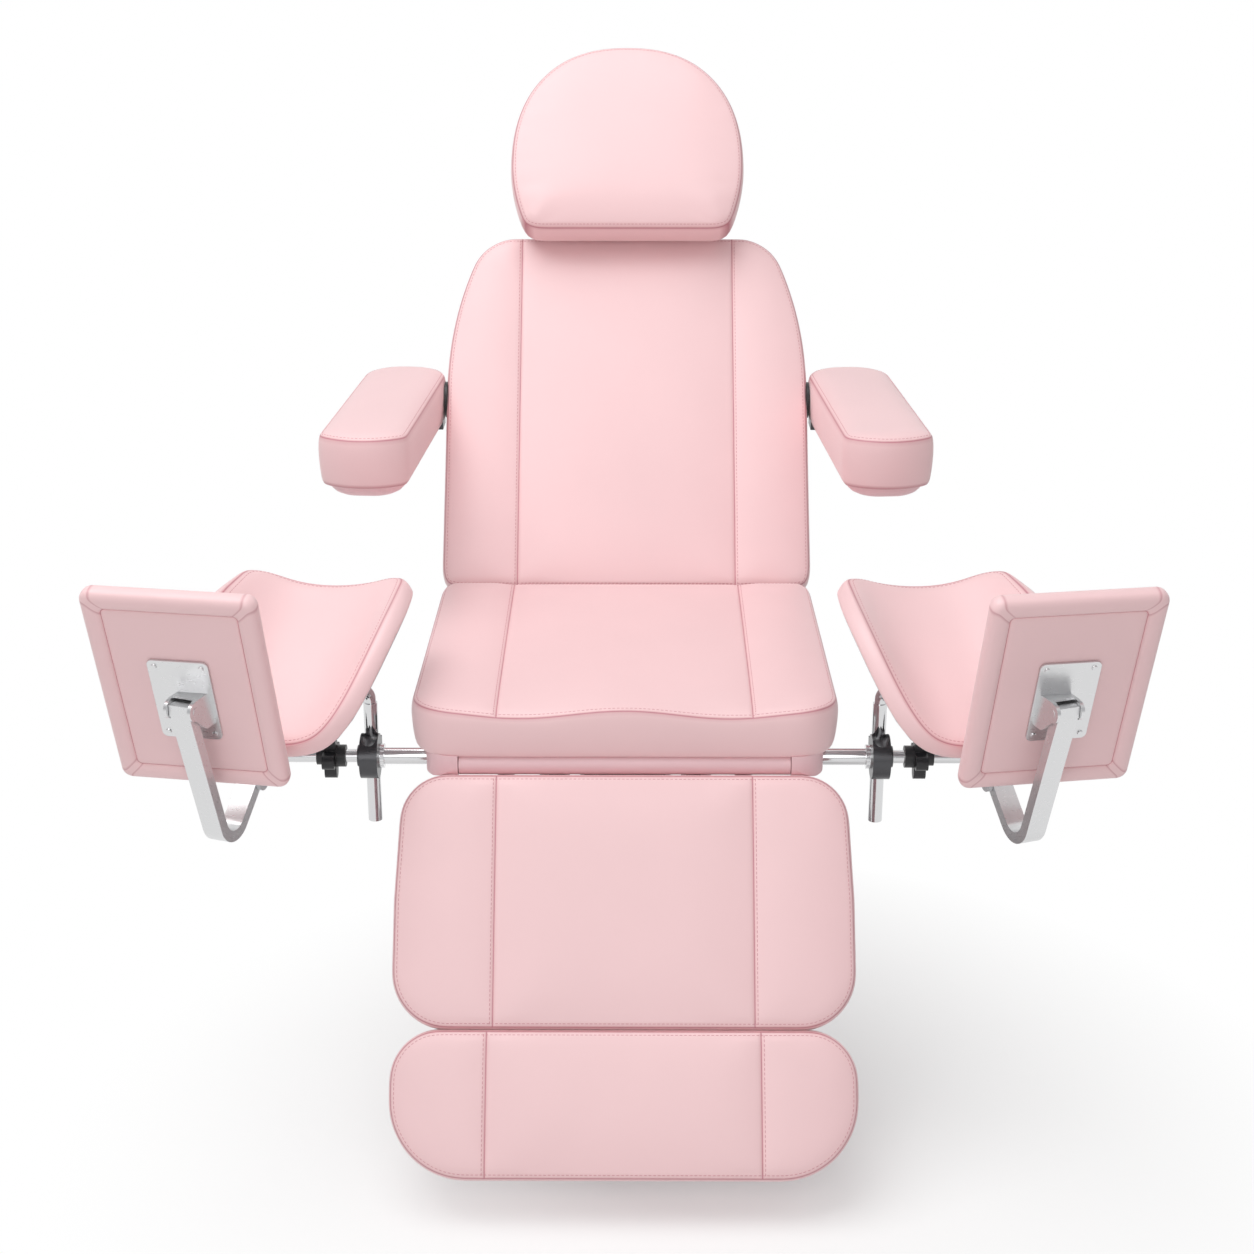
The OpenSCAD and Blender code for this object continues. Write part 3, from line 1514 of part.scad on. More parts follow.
module at_board() {
    translate(board_at)
        rotate([0, 0, board_yaw])
            rotate([90 + board_lean, 0, 0])
                children();
}

module foot_board(side) {
    pink() on_side(side)
        at_board()
            translate([0, -board_h / 2, -board_t / 2])
                board_form(board_r, board_border);
}

// Rows and columns of the board share one list of distances in from the edge
module board_form(r, border) {
    steps = board_steps;
    inner = max(board_steps);
    line = function(l) concat(steps, [l / 2], [for (i = [len(steps) - 1:-1:0]) l - steps[i]]);
    rim = 2 * panel_in;
    ys = line(board_h);
    depth = function(e) e < border ? board_t - rim * pow(1 - min(1, e / steps[2]), 2) : board_t - panel_in;
    grid = [for (y = ys) [for (x = line(board_w))
        let (in_y = max(0, r - min(y, board_h - y)), dx = min(x, board_w - x),
            draw = r - sqrt(max(0, r * r - in_y * in_y)), w = board_w / 2 - draw,
            share = (x - board_w / 2) / (board_w / 2))
        [dx < border ? sign(share) * max(w - dx, board_w / 2 - inner) : share * board_w / 2, y,
            depth(min(dx, y, board_h - y))]]];
    n = len(ys);
    c = len(grid[0]);
    top = [for (row = grid, p = row) p];
    loop = grid_loop(n, c);
    rings = [for (q = [0:len(board_draw) - 1], p = loop)
        let (d = board_draw[q])
        [top[p][0] * (1 - 2 * d / board_w), board_h / 2 + (top[p][1] - board_h / 2) * (1 - 2 * d / board_h),
            board_side_shares[q] * board_t]];
    k = len(loop);
    bands = [for (q = [0:len(board_draw) - 1]) [for (p = [0:k - 1]) n * c + q * k + p]];
    polyhedron(concat(top, rings), concat(top_faces(n, c), band_faces(loop, bands[0]),
        band_faces(bands[0], bands[1]), band_faces(bands[1], bands[2]), base_faces(n * c + 2 * k, n, c)));
}

module board_bracket(side) {
    z0 = board_t / 2 - panel_in;
    roof_z = bar_t / 2 + roof_gap + roof_t;
    steel() on_side(side) {
        at_board()
            translate([0, -plate_drop, z0]) {
                linear_extrude(plate_size[2])
                    round_rect(plate_size[0], plate_size[1], plate_r);
                for (i = [-1, 1], j = [-1, 1])
                    translate([i * (plate_size[0] / 2 - screw_d * 1.2), j * (plate_size[1] / 2 - screw_d * 1.2),
                        plate_size[2]])
                        cylinder(h = screw_h, d1 = screw_d, d2 = screw_d * 0.8);
            }
        intersection() {
            at_bar()
                difference() {
                    union() {
                        for (m = [0, 1])
                            mirror([m, 0, 0])
                                plate_x(bar_w / 2 + side_gap / 2, bar_w / 2 + side_gap / 2 + cheek_t) {
                                    circle(hanger_r);
                                    polygon([[0, -hanger_r], [2 * hanger_r, -gusset_h], [board_w, -gusset_h],
                                        [board_w, roof_z], [0, roof_z]]);
                                }
                        box([-bar_w / 2 - side_gap, roof_in, roof_z - roof_t],
                            [bar_w / 2 + side_gap, board_w, roof_z]);
                    }
                    rod_x(-bar_w, bar_w, bar_pin_d + 2 * run_gap);
                }
            at_board()
                translate([-board_w / 2, -board_h / 2, z0 + plate_size[2] / 2])
                    cube([board_w, board_h, board_w]);
        }
    }
}

base_frame();
base_cover();
levelling_feet();
column_outer();
lift_motor();
mains_inlet();
column_middle();
column_inner();
seat_frame();
seat_pan();
seat_cushion();
front_roll();
control_box();
recline_shaft();
leg_shaft();
rod_sockets();
back_frame();
back_cushion();
back_tray();
head_guides();
arm_bracket(-1);  // arm_bracket_left
arm_bracket(1);  // arm_bracket_right
head_rods();
head_board();
head_cushion();
arm_cushion(-1);  // arm_cushion_left
arm_shell(-1);  // arm_shell_left
arm_core(-1);  // arm_core_left
arm_cushion(1);  // arm_cushion_right
arm_shell(1);  // arm_shell_right
arm_core(1);  // arm_core_right
leg_frame();
leg_cushion();
leg_tray();
foot_rails();
foot_cushion();
foot_tray();
back_actuator();
back_actuator_rod();
leg_actuator();
leg_actuator_rod();
support_rod(-1);  // support_rod_left
post_clamp(-1);  // post_clamp_left
star_knob(-1);  // star_knob_left
post(-1);  // post_left
knee_shell(-1);  // knee_shell_left
knee_cushion(-1);  // knee_cushion_left
foot_bar(-1);  // foot_bar_left
board_bracket(-1);  // board_bracket_left
foot_board(-1);  // foot_board_left
support_rod(1);  // support_rod_right
post_clamp(1);  // post_clamp_right
star_knob(1);  // star_knob_right
post(1);  // post_right
knee_shell(1);  // knee_shell_right
knee_cushion(1);  // knee_cushion_right
foot_bar(1);  // foot_bar_right
board_bracket(1);  // board_bracket_right
foot_board(1);  // foot_board_right
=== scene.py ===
"""Electric treatment chair: upholstery, finishes, floor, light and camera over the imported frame."""
import math

import bmesh
import bpy
import numpy as np
from mathutils import Euler, Matrix, Vector


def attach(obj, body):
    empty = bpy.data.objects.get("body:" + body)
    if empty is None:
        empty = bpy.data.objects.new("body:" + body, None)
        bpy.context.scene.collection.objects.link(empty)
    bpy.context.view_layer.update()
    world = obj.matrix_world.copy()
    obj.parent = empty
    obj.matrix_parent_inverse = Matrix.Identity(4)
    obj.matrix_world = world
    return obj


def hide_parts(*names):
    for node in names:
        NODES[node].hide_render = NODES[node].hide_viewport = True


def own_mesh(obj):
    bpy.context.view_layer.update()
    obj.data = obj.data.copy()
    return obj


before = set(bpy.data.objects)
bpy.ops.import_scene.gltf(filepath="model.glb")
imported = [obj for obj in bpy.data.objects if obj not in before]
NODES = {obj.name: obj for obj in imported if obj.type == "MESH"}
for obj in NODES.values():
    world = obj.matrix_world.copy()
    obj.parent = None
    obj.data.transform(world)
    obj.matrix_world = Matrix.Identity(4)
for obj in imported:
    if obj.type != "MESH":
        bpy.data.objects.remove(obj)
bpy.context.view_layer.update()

MM = 0.001
SCENE = bpy.context.scene

# ------------------------------------------------------------------ sizes, in millimetres and degrees
# Places have y = 0 at the seat's front seam. The frame's origin lies CHAIR_Y behind it.
# w and h are a section's width and height, l its length, t its thickness, and r its outline's corner radii.
CHAIR_Y = 361.327
SEAT = dict(w=610, rear_w=592, l=497, z=561, seam=65, puff=6, crease_rise=19, front_r=60, rear_r=18, skirt=5.0,
            wave=6, wave_span=0.82, wave_fade=34.0, bolster=8, bolster_rise=26, bolster_in=60)
BACK = dict(w=600, top_w=478, l=615, t=85, foot_r=18, top_r=46, lean=35, y=500, z=645, straight=0.55, power=2.2)
HEAD = dict(w=388, low_w=336, l=333, t=82, lap=16, proud=83, low_r=26, wide=0.34, power=2.3, crown=5, crown_half=195,
            fall=8, fall_l=60, fall_in=30, darts=((-163, 8), (163, 8)))
LEG = dict(w=642, top_w=626, l=349, up=7, t=75, top_r=60, low_r=75, slope=57, y=-30, z=539, pressed=0.967)
FOOT = dict(w=642, l=196, top_r=65, low_r=104, start=348)
ARM = dict(w=137, l=470, t=92, top=947, x=371, y=794, splay=3.6, front_r=14, rear_r=60, bow=26, crown_half=65.0)
KNEE = dict(x=434, y=190, z=764, yaw=11, slope=28, l=310, half=(112, 135), depth=(20, 128), power=2.6,
            full=0.3, end=0.42, t=28, rear_r=36, grow=0.6, puff=5, puff_in=18.0, dip=16, dip_l=100, dip_x=18,
            dip_w=80, skirt=5.0)
BOARD = dict(x=580, y=-137, z=720, yaw=9.3, lean=17, w=240, h=318, t=28, r=16, border=27, least_r=7)
CHANNEL_X = dict(seat=181, back=178, leg=181, foot=189)

# The sewn covers. A pad's seam lies PUFF and CROWN below its top. COVER_PUFF is the cover's rise above its seam
# before the cloth solver adds the rest, and BULGE is how far a side stands out past its seam.
PUFF = 10
COVER_PUFF = 7
CROWN = 4
CROWN_HALF = 300.0
BULGE = 1.5
# Seams and channels sink into the tops, and painted shade darkens them, fading out within a narrow width on either
# side.
SEAM = dict(sink=1.3, shade=1.4, dart=0.9)
CHANNEL = dict(valley=3.2, valley_w=15, valley_in=26, groove=1.9, groove_w=2.4, groove_in=5, shade=1.6, stitch=4,
               stitch_end=1.5)
STITCH = dict(pitch=6.2, l=4.2, d=0.95, inset=4.6, sides=6, out=0.25, flat=0.8)
STITCH_ENDS = ((-1, 0.35), (-0.7, 1), (0.7, 1), (1, 0.35))

# The covers' meshes. Between its grid and its seam a top has rings, at these distances outside the seam, after one
# that lies FIRST_RING outside the grid. A channel has columns at these distances outside it and CHANNEL_ROOM to
# each side, and keeps CHANNEL_TO_EDGE from the grid's border. The base's grid lies BASE_IN inside the side's foot.
# The rows take up the outline's curve over about ROW_FADE. NEAR is a tolerance.
RINGS = (-9.0, -6.6, -STITCH["inset"], -2.6, -1.1, 0.0)
FIRST_RING = 4
CHANNEL_COLUMNS = (8, 4, 1.5, 0, -1.5, -4, -8)
CHANNEL_ROOM = 16
CHANNEL_TO_EDGE = 22
BASE_IN = 14.0
ROW_FADE = 45.0
NEAR = 0.01
LEAST_ROWS = 8
LEAST_COLUMNS = 6
LEAST_OUTER_COLUMNS = 3

# A side band runs down from the seam, as (share of its height, distance outside the seam)
LOW_SEAM = 0.045
SIDE = ((0.97, 1.0), (0.9, 2.6), (0.8, 3.8), (0.66, 4.0), (0.5, 3.4), (0.34, 2.4), (0.18, 0.8), (0.08, -1.2),
        (0.0, -4.5))
ARM_SIDE = ((0.97, 1.0), (0.9, 2.4), (0.78, 3.4), (0.6, 3.6), (0.42, 3.0), (0.25, 1.8), (0.1, 0.4),
            (LOW_SEAM, -1.6), (0.0, -4.0))
KNEE_SIDE = ((0.95, 1.2), (0.84, 2.6), (0.66, 3.6), (0.45, 3.8), (0.25, 3.2), (0.09, 2.2), (0.0, 0.6))
# painted shade at the side band's low seam and just under the top seam, as shares of a seam's full shade
LOW_SEAM_SHADE = 0.75
UNDER_SEAM_SHADE = 0.3

# The cloth solver's settings. Pins hold what thread or board holds, and CAP limits the cover's move in millimetres.
CLOTH = dict(quality=4, mass=0.3, tension_stiffness=18, compression_stiffness=18, shear_stiffness=8,
             bending_stiffness=0.6, use_pressure=True, uniform_pressure_force=3.0, vertex_group_mass="pin")
FRAMES = 20
CAP = 5.0
PIN = dict(seam=7, channel=5, side_above=0.85, side_below=0.12)


# ------------------------------------------------------------------ frames of the sections
def placed(x, y, z):
    return Matrix.Translation(Vector((x * MM, (y - CHAIR_Y) * MM, z * MM)))


def shifted(x, y, z):
    return Matrix.Translation(Vector((x * MM, y * MM, z * MM)))


def turn(deg, axis):
    return Matrix.Rotation(math.radians(deg), 4, axis)


def mirrored(side):
    return Matrix.Scale(-1, 4, Vector((1, 0, 0))) if side < 0 else Matrix.Identity(4)


def at_arm(side):
    return mirrored(side) @ placed(ARM["x"], ARM["y"], ARM["top"] - ARM["t"]) @ turn(ARM["splay"], "Z") \
        @ shifted(0, -ARM["l"], 0)


def at_board(side):
    return mirrored(side) @ placed(BOARD["x"], BOARD["y"], BOARD["z"]) @ turn(BOARD["yaw"], "Z") \
        @ turn(90 + BOARD["lean"], "X") @ shifted(0, -BOARD["h"] / 2, -BOARD["t"] / 2)


AT_SEAT = placed(0, 0, SEAT["z"])
AT_BACK = placed(0, BACK["y"], BACK["z"]) @ turn(90 - BACK["lean"], "X")
AT_LEG = placed(0, LEG["y"], LEG["z"]) @ turn(LEG["slope"], "X") @ turn(180, "Z")
AT_LEG_BASE = AT_LEG @ shifted(0, 0, -LEG["t"])


# ------------------------------------------------------------------ shader nodes
def new_material(name, colour, roughness, metallic=0.0):
    m = bpy.data.materials.new(name)
    m.use_nodes = True
    m.diffuse_color = (*colour, 1)
    b = m.node_tree.nodes["Principled BSDF"]
    b.inputs["Base Color"].default_value = (*colour, 1)
    b.inputs["Roughness"].default_value = roughness
    b.inputs["Metallic"].default_value = metallic
    return m, m.node_tree.nodes, m.node_tree.links, b


def noise(nodes, links, coords, scale, detail=3.0):
    t = nodes.new("ShaderNodeTexNoise")
    t.inputs["Scale"].default_value = scale
    t.inputs["Detail"].default_value = detail
    links.new(coords, t.inputs["Vector"])
    return t.outputs["Fac"]


def span(nodes, links, value, low, high, from_low=0.0, from_high=1.0):
    """Maps from_low…from_high to low…high."""
    r = nodes.new("ShaderNodeMapRange")
    r.inputs["From Min"].default_value = from_low
    r.inputs["From Max"].default_value = from_high
    r.inputs["To Min"].default_value = low
    r.inputs["To Max"].default_value = high
    links.new(value, r.inputs["Value"])
    return r.outputs["Result"]


def maths(nodes, links, operation, first, second):
    n = nodes.new("ShaderNodeMath")
    n.operation = operation
    links.new(first, n.inputs[0])
    links.new(second, n.inputs[1])
    return n.outputs["Value"]


def mix(nodes, links, factor, a, b):
    """Mixes two colours, each a tuple or another node's output."""
    n = nodes.new("ShaderNodeMix")
    n.data_type = "RGBA"
    links.new(factor, n.inputs["Factor"])
    for socket, value in ((n.inputs["A"], a), (n.inputs["B"], b)):
        if isinstance(value, tuple):
            socket.default_value = (*value, 1)
        else:
            links.new(value, socket)
    return n.outputs["Result"]


def relief(nodes, links, b, height, strength, depth):
    """Bumps the surface by up to depth, in metres."""
    n = nodes.new("ShaderNodeBump")
    n.inputs["Strength"].default_value = strength
    n.inputs["Distance"].default_value = depth
    links.new(height, n.inputs["Height"])
    links.new(n.outputs["Normal"], b.inputs["Normal"])


# ------------------------------------------------------------------ materials
LEATHER = dict(tone_scale=5.0, darker=0.985, lighter=1.012, pebble_scale=850, grain_scale=260, grain=0.12,
               grain_depth=0.0004, rough=(0.44, 0.56), sheen=0.3, sheen_roughness=0.45, specular=0.8)
MOULDED = dict(grain_scale=900, grain=0.08, grain_depth=0.0002, rough_scale=7, smoother=0.04, rougher=0.05)
METAL = dict(line_scale=(40, 400, 400), grain=0.05, grain_depth=0.00004)
# where most of a noise's values lie
NOISE = (0.3, 0.7)


def leatherette(name, colour, seam_shade_colour):
    """Soft coated cloth: fine pebble grain, slow tone changes, and painted shade where the seams and channels pull it
    in.
    """
    m, nodes, links, b = new_material(name, colour, 0.48)
    where = nodes.new("ShaderNodeTexCoord").outputs["Object"]
    slow = noise(nodes, links, where, LEATHER["tone_scale"], 2.0)
    tone = mix(nodes, links, span(nodes, links, slow, 0.0, 1.0, 0.35, 0.65),
               tuple(c * LEATHER["darker"] for c in colour), tuple(min(1, c * LEATHER["lighter"]) for c in colour))
    # painted shade: the seam attribute darkens the cloth towards the seam colour in seams, channels and darts
    seam = nodes.new("ShaderNodeAttribute")
    seam.attribute_name = "seam"
    links.new(mix(nodes, links, seam.outputs["Fac"], tone, seam_shade_colour), b.inputs["Base Color"])
    pebble = nodes.new("ShaderNodeTexVoronoi")
    pebble.feature = "DISTANCE_TO_EDGE"
    pebble.inputs["Scale"].default_value = LEATHER["pebble_scale"]
    links.new(where, pebble.inputs["Vector"])
    fine = noise(nodes, links, where, LEATHER["grain_scale"], 4.0)
    height = maths(nodes, links, "ADD", span(nodes, links, pebble.outputs["Distance"], 0, 0.6, 0.0, 0.35),
                   span(nodes, links, fine, 0, 0.8, 0.2, 0.8))
    relief(nodes, links, b, height, LEATHER["grain"], LEATHER["grain_depth"])
    links.new(span(nodes, links, fine, *LEATHER["rough"], *NOISE), b.inputs["Roughness"])
    b.inputs["Sheen Weight"].default_value = LEATHER["sheen"]
    b.inputs["Sheen Roughness"].default_value = LEATHER["sheen_roughness"]
    b.inputs["Specular IOR Level"].default_value = LEATHER["specular"]
    return m


def moulded(name, colour, rough=0.42):
    """Moulded plastic or enamel: a fine grain, and a gloss that changes slowly."""
    m, nodes, links, b = new_material(name, colour, rough)
    where = nodes.new("ShaderNodeTexCoord").outputs["Object"]
    relief(nodes, links, b, noise(nodes, links, where, MOULDED["grain_scale"], 2.0), MOULDED["grain"],
           MOULDED["grain_depth"])
    slow = noise(nodes, links, where, MOULDED["rough_scale"], 2.0)
    links.new(span(nodes, links, slow, rough - MOULDED["smoother"], rough + MOULDED["rougher"], *NOISE),
              b.inputs["Roughness"])
    return m


def metal(name, colour, rough, brushed):
    """Plated or brushed metal, with lines along x. brushed is how much they change its gloss."""
    m, nodes, links, b = new_material(name, colour, rough, 1.0)
    stretch = nodes.new("ShaderNodeMapping")
    stretch.inputs["Scale"].default_value = METAL["line_scale"]
    links.new(nodes.new("ShaderNodeTexCoord").outputs["Object"], stretch.inputs["Vector"])
    lines = noise(nodes, links, stretch.outputs["Vector"], 1.0)
    links.new(span(nodes, links, lines, rough * (1 - brushed), rough * (1 + brushed), *NOISE),
              b.inputs["Roughness"])
    relief(nodes, links, b, lines, METAL["grain"], METAL["grain_depth"])
    return m


# the second colour is the painted shade in the seams, channels and darts
M_LEATHER = leatherette("pink_leatherette", (0.895, 0.608, 0.621), (0.5, 0.155, 0.195))
M_THREAD = new_material("pink_thread", (0.66, 0.3, 0.34), 0.6)[0]
M_SHELL = moulded("pink_shell", (0.86, 0.58, 0.61))
M_GREY = moulded("grey_shell", (0.6, 0.62, 0.64))
M_WHITE = moulded("white_enamel", (0.86, 0.86, 0.87), 0.35)
M_BLACK = moulded("black_plastic", (0.012, 0.012, 0.014), 0.36)
M_RUBBER = moulded("rubber", (0.02, 0.02, 0.02), 0.7)
M_STEEL = metal("satin_steel", (0.71, 0.712, 0.718), 0.3, 0.12)
M_CHROME = metal("chrome", (0.68, 0.683, 0.69), 0.09, 0.1)
# dark clamp metal; on the arm cores it is painted shade for the gap between arm and backrest
M_DARK_AND_SHADE = metal("dark_clamp_and_shade", (0.09, 0.09, 0.095), 0.3, 0.1)


# ------------------------------------------------------------------ pad outlines
# An outline is the right half of a pad's seam, flat, from the middle of its foot to the middle of its head.
def arc(cx, cy, r, a0, a1, n=14):
    a = np.radians(np.linspace(a0, a1, n))
    return np.stack([cx + r * np.cos(a), cy + r * np.sin(a)], 1)


def rounded_outline(length, half, r0, r1, n=60):
    """half gives the half width at a length, and r0 and r1 round its corners at foot and head."""
    a = np.radians(np.linspace(0, 90, 16))
    s = np.concatenate([r0 * (1 - np.cos(a)), np.linspace(r0, length - r1, n)[1:-1], length - r1 * (1 - np.sin(a))])
    drawn = np.concatenate([r0 * (1 - np.sin(a)), np.zeros(n - 2), r1 * (1 - np.cos(a))])
    w = np.array([half(v) for v in s]) - drawn
    return np.concatenate([[[0, 0]], np.stack([w, s], 1), [[0, length]]])


def seat_half(s):
    return SEAT["w"] / 2 - (SEAT["w"] - SEAT["rear_w"]) / 2 * s / SEAT["l"] - BULGE


def back_half(s):
    k = np.maximum(0, (s / BACK["l"] - BACK["straight"]) / (1 - BACK["straight"]))
    return BACK["w"] / 2 - (BACK["w"] - BACK["top_w"]) / 2 * k ** BACK["power"] - BULGE


def leg_half(s):
    return LEG["top_w"] / 2 + (LEG["w"] - LEG["top_w"]) / 2 * min(1, s / (LEG["l"] / 2)) - BULGE


def foot_half(s):
    return FOOT["w"] / 2 - BULGE


def head_outline():
    """Its sides widen from two round lower corners, and a squarish half ellipse closes it from its widest place."""
    s0 = HEAD["l"] * HEAD["wide"]
    r, w = HEAD["low_r"], HEAD["w"] / 2
    s = np.linspace(r, s0, 24)
    x = w - (w - HEAD["low_w"] / 2) * (1 - s / s0) ** 2
    a = np.radians(np.linspace(0, 90, 60))
    k = 2 / HEAD["power"]
    crown = np.stack([w * np.abs(np.cos(a)) ** k, s0 + (HEAD["l"] - s0) * np.sin(a) ** k], 1)
    crown[-1, 0] = 0
    return np.concatenate([[[0, 0]], arc(x[0] - r, r, r, -90, -8), np.stack([x, s], 1)[1:], crown[1:]])


def arm_outline():
    """An armrest's front end bows forward between two tight corners."""
    w, b, r = ARM["w"] / 2 - BULGE, ARM["bow"], ARM["front_r"]
    big = (w * w + b * b) / (2 * b)
    yc = big - math.sqrt((big - r) ** 2 - (w - r) ** 2)
    turn_at = math.degrees(math.atan2(yc - big, w - r))
    far = ARM["l"] - ARM["rear_r"]
    s = np.linspace(yc, far, 60)
    return np.concatenate([arc(0, big, big, -90, turn_at, 24), arc(w - r, yc, r, turn_at, 0)[1:],
                           np.stack([np.full(60, w), s], 1)[1:-1], arc(w - ARM["rear_r"], far, ARM["rear_r"], 0, 90),
                           [[0, ARM["l"]]]])


def knee_half(l):
    """The saddle's half width at a share l of its length, before knee_extent rounds its front."""
    return KNEE["half"][0] + (KNEE["half"][1] - KNEE["half"][0]) * l


def knee_extent(l):
    t = max(0.0, (l - KNEE["full"]) / (1 - KNEE["full"]))
    return KNEE["end"] + (1 - KNEE["end"]) * math.sqrt(max(0.0, 1 - t * t))


def knee_outline():
    """The saddle's outline, flat: x across it and s down its slope."""
    r = KNEE["rear_r"]
    l = r / KNEE["l"] + (1 - r / KNEE["l"]) * np.sin(np.linspace(0, math.pi / 2, 70))
    x = np.array([knee_half(v) * knee_extent(v) for v in l])
    w = knee_half(r / KNEE["l"])
    return np.concatenate([[[0, 0]], arc(w - r, r, r, -90, 0), np.stack([x, l * KNEE["l"]], 1)[1:], [[0, KNEE["l"]]]])


def offset_line(line, d):
    """The outline moved out by d along its normals; d below zero moves it in."""
    t = np.gradient(line, axis=0)
    t[0], t[-1] = (1, 0), (-1, 0)
    t /= np.linalg.norm(t, axis=1)[:, None]
    out = line + d * np.stack([t[:, 1], -t[:, 0]], 1)
    out[0, 0] = out[-1, 0] = 0
    return out


# ------------------------------------------------------------------ pad tops
# A top gives the height above the pad's base at x and s, and at a distance edge inside the seam.
def swell(edge, reach=26.0):
    return 1 - (1 - np.clip(edge / reach, 0, 1)) ** 2


def crowned(x, s, length, crown, half):
    return crown * (1 - (x / half) ** 2) * 4 * s * (length - s) / length ** 2


def plain_top(t, length, crown=CROWN, half=CROWN_HALF):
    def top(x, s, edge):
        return t - PUFF - CROWN + swell(edge) * COVER_PUFF + crowned(x, s, length, crown, half)
    return top


def head_top(x, s, edge):
    """A plain crown, whose lower edge rounds over before it reaches its seam."""
    plain = plain_top(HEAD["t"], HEAD["l"], HEAD["crown"], HEAD["crown_half"])(x, s, edge)
    return plain - HEAD["fall"] * np.exp(-(s / HEAD["fall_l"]) ** 2) * (1 - swell(edge, HEAD["fall_in"]))


def seat_top(x, s, edge):
    """Rises towards the crease and its side bolsters. Its front edge is waved, and highest in its middle."""
    c = CHANNEL_X["seat"]
    wave = SEAT["wave"] * np.cos(np.pi * x / (c * SEAT["wave_span"]))
    front = np.exp(-s / SEAT["wave_fade"])
    bolster = SEAT["bolster"] * np.clip((np.abs(x) - c) / SEAT["bolster_rise"], 0, 1) * np.clip(s / SEAT["l"], 0, 1)
    rise = SEAT["crease_rise"] * s / SEAT["l"]
    crown = crowned(x, s, SEAT["l"], CROWN, CROWN_HALF)
    return SEAT["seam"] + swell(edge) * SEAT["puff"] + crown + rise + wave * front \
        + bolster * swell(edge, SEAT["bolster_in"])


def knee_top(x, s, edge):
    """The saddle's padding thins towards the middle of its rear edge."""
    dip = KNEE["dip"] * np.exp(-(s / KNEE["dip_l"]) ** 2) * np.exp(-((x - KNEE["dip_x"]) / KNEE["dip_w"]) ** 2)
    return KNEE["t"] - KNEE["puff"] + KNEE["puff"] * swell(edge, KNEE["puff_in"]) - dip


def knee_point(a, l):
    """A point of the saddle's face, at a share a of its half width and a share l of its length."""
    yaw, slope = math.radians(KNEE["yaw"]), math.radians(KNEE["slope"])
    h = knee_half(l)
    d = KNEE["depth"][0] + (KNEE["depth"][1] - KNEE["depth"][0]) * l
    run = KNEE["l"] * math.cos(slope) * l
    return np.stack([KNEE["x"] + math.sin(yaw) * run + math.cos(yaw) * h * a,
                     KNEE["y"] - math.cos(yaw) * run + math.sin(yaw) * h * a,
                     KNEE["z"] - KNEE["l"] * math.sin(slope) * l + d * np.abs(a) ** KNEE["power"]], -1)


def knee_warp(p):
    """From the saddle's flat pattern (x, s, height above its base) to its hollow form."""
    l = p[:, 1] / KNEE["l"]
    a = p[:, 0] / knee_half(l)
    e = 0.01
    n = np.cross(knee_point(a + e, l) - knee_point(a - e, l), knee_point(a, l - e) - knee_point(a, l + e))
    n /= np.linalg.norm(n, axis=1)[:, None]
    return knee_point(a, l) + n * (p[:, 2] - KNEE["t"])[:, None]


# ------------------------------------------------------------------ meshes
def to_world(points, matrix):
    m = np.array(matrix)
    return (points * MM @ m[:3, :3].T + m[:3, 3]).tolist()


def coords(obj):
    out = np.empty(len(obj.data.vertices) * 3)
    obj.data.vertices.foreach_get("co", out)
    return out.reshape(-1, 3)


def new_object(name, points, faces, material, shade_marks=None):
    """The marks paint shade into a cover's seams, channels and darts. With them, the faces are turned to look
    outwards.
    """
    mesh = bpy.data.meshes.new(name)
    mesh.from_pydata(points, [], faces)
    mesh.update()
    if shade_marks is not None:
        mesh.attributes.new("seam", "FLOAT", "POINT").data.foreach_set("value", shade_marks.astype(np.float32))
        bm = bmesh.new()
        bm.from_mesh(mesh)
        bmesh.ops.recalc_face_normals(bm, faces=bm.faces)
        bm.to_mesh(mesh)
        bm.free()
        for p in mesh.polygons:
            p.use_smooth = True
    mesh.materials.append(material)
    obj = bpy.data.objects.new(name, mesh)
    SCENE.collection.objects.link(obj)
    return obj


def finish_cover(obj, node, body):
    sub = obj.modifiers.new("smooth", "SUBSURF")
    sub.levels = sub.render_levels = 1
    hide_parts(node)
    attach(obj, body)


def resample(path, closed, pitch):
    p = np.concatenate([path, path[:1]]) if closed else path
    step = np.linalg.norm(np.diff(p, axis=0), axis=1)
    at = np.concatenate([[0], np.cumsum(step)])
    n = int(at[-1] / pitch)
    want = (np.arange(n) + 0.5) * at[-1] / n
    return np.stack([np.interp(want, at, p[:, k]) for k in range(3)], 1)


def thread(name, paths, pad, body):
    """Short capsules laid along sewn lines, half sunk into the cover."""
    verts, faces = [], []
    half, r, sides = STITCH["l"] * MM / 2, STITCH["d"] * MM / 2, STITCH["sides"]
    ring = [(math.cos(a), math.sin(a)) for a in np.linspace(0, 2 * math.pi, sides + 1)[:-1]]
    for path, closed in paths:
        mid = resample(path, closed, STITCH["pitch"] * MM)
        ahead = np.roll(mid, -1, 0) - np.roll(mid, 1, 0)
        if not closed:
            ahead[0], ahead[-1] = mid[1] - mid[0], mid[-1] - mid[-2]
        for p, t in zip(mid, ahead):
            t = Vector(t).normalized()
            _, at, normal, _ = pad.closest_point_on_mesh(Vector(p))
            u = t.cross(normal).normalized()
            v = u.cross(t)
            c = at + normal * r * STITCH["out"]
            first = len(verts)
            for along, size in STITCH_ENDS:
                verts += [tuple(c + t * half * along + (u * x + v * y * STITCH["flat"]) * r * size) for x, y in ring]
            for k in range(len(STITCH_ENDS) - 1):
                low, high = first + sides * k, first + sides * (k + 1)
                faces += [(low + q, low + (q + 1) % sides, high + (q + 1) % sides, high + q) for q in range(sides)]
    obj = new_object(name, verts, faces, M_THREAD)
    for p in obj.data.polygons:
        p.use_smooth = True
    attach(obj, body)
    return obj


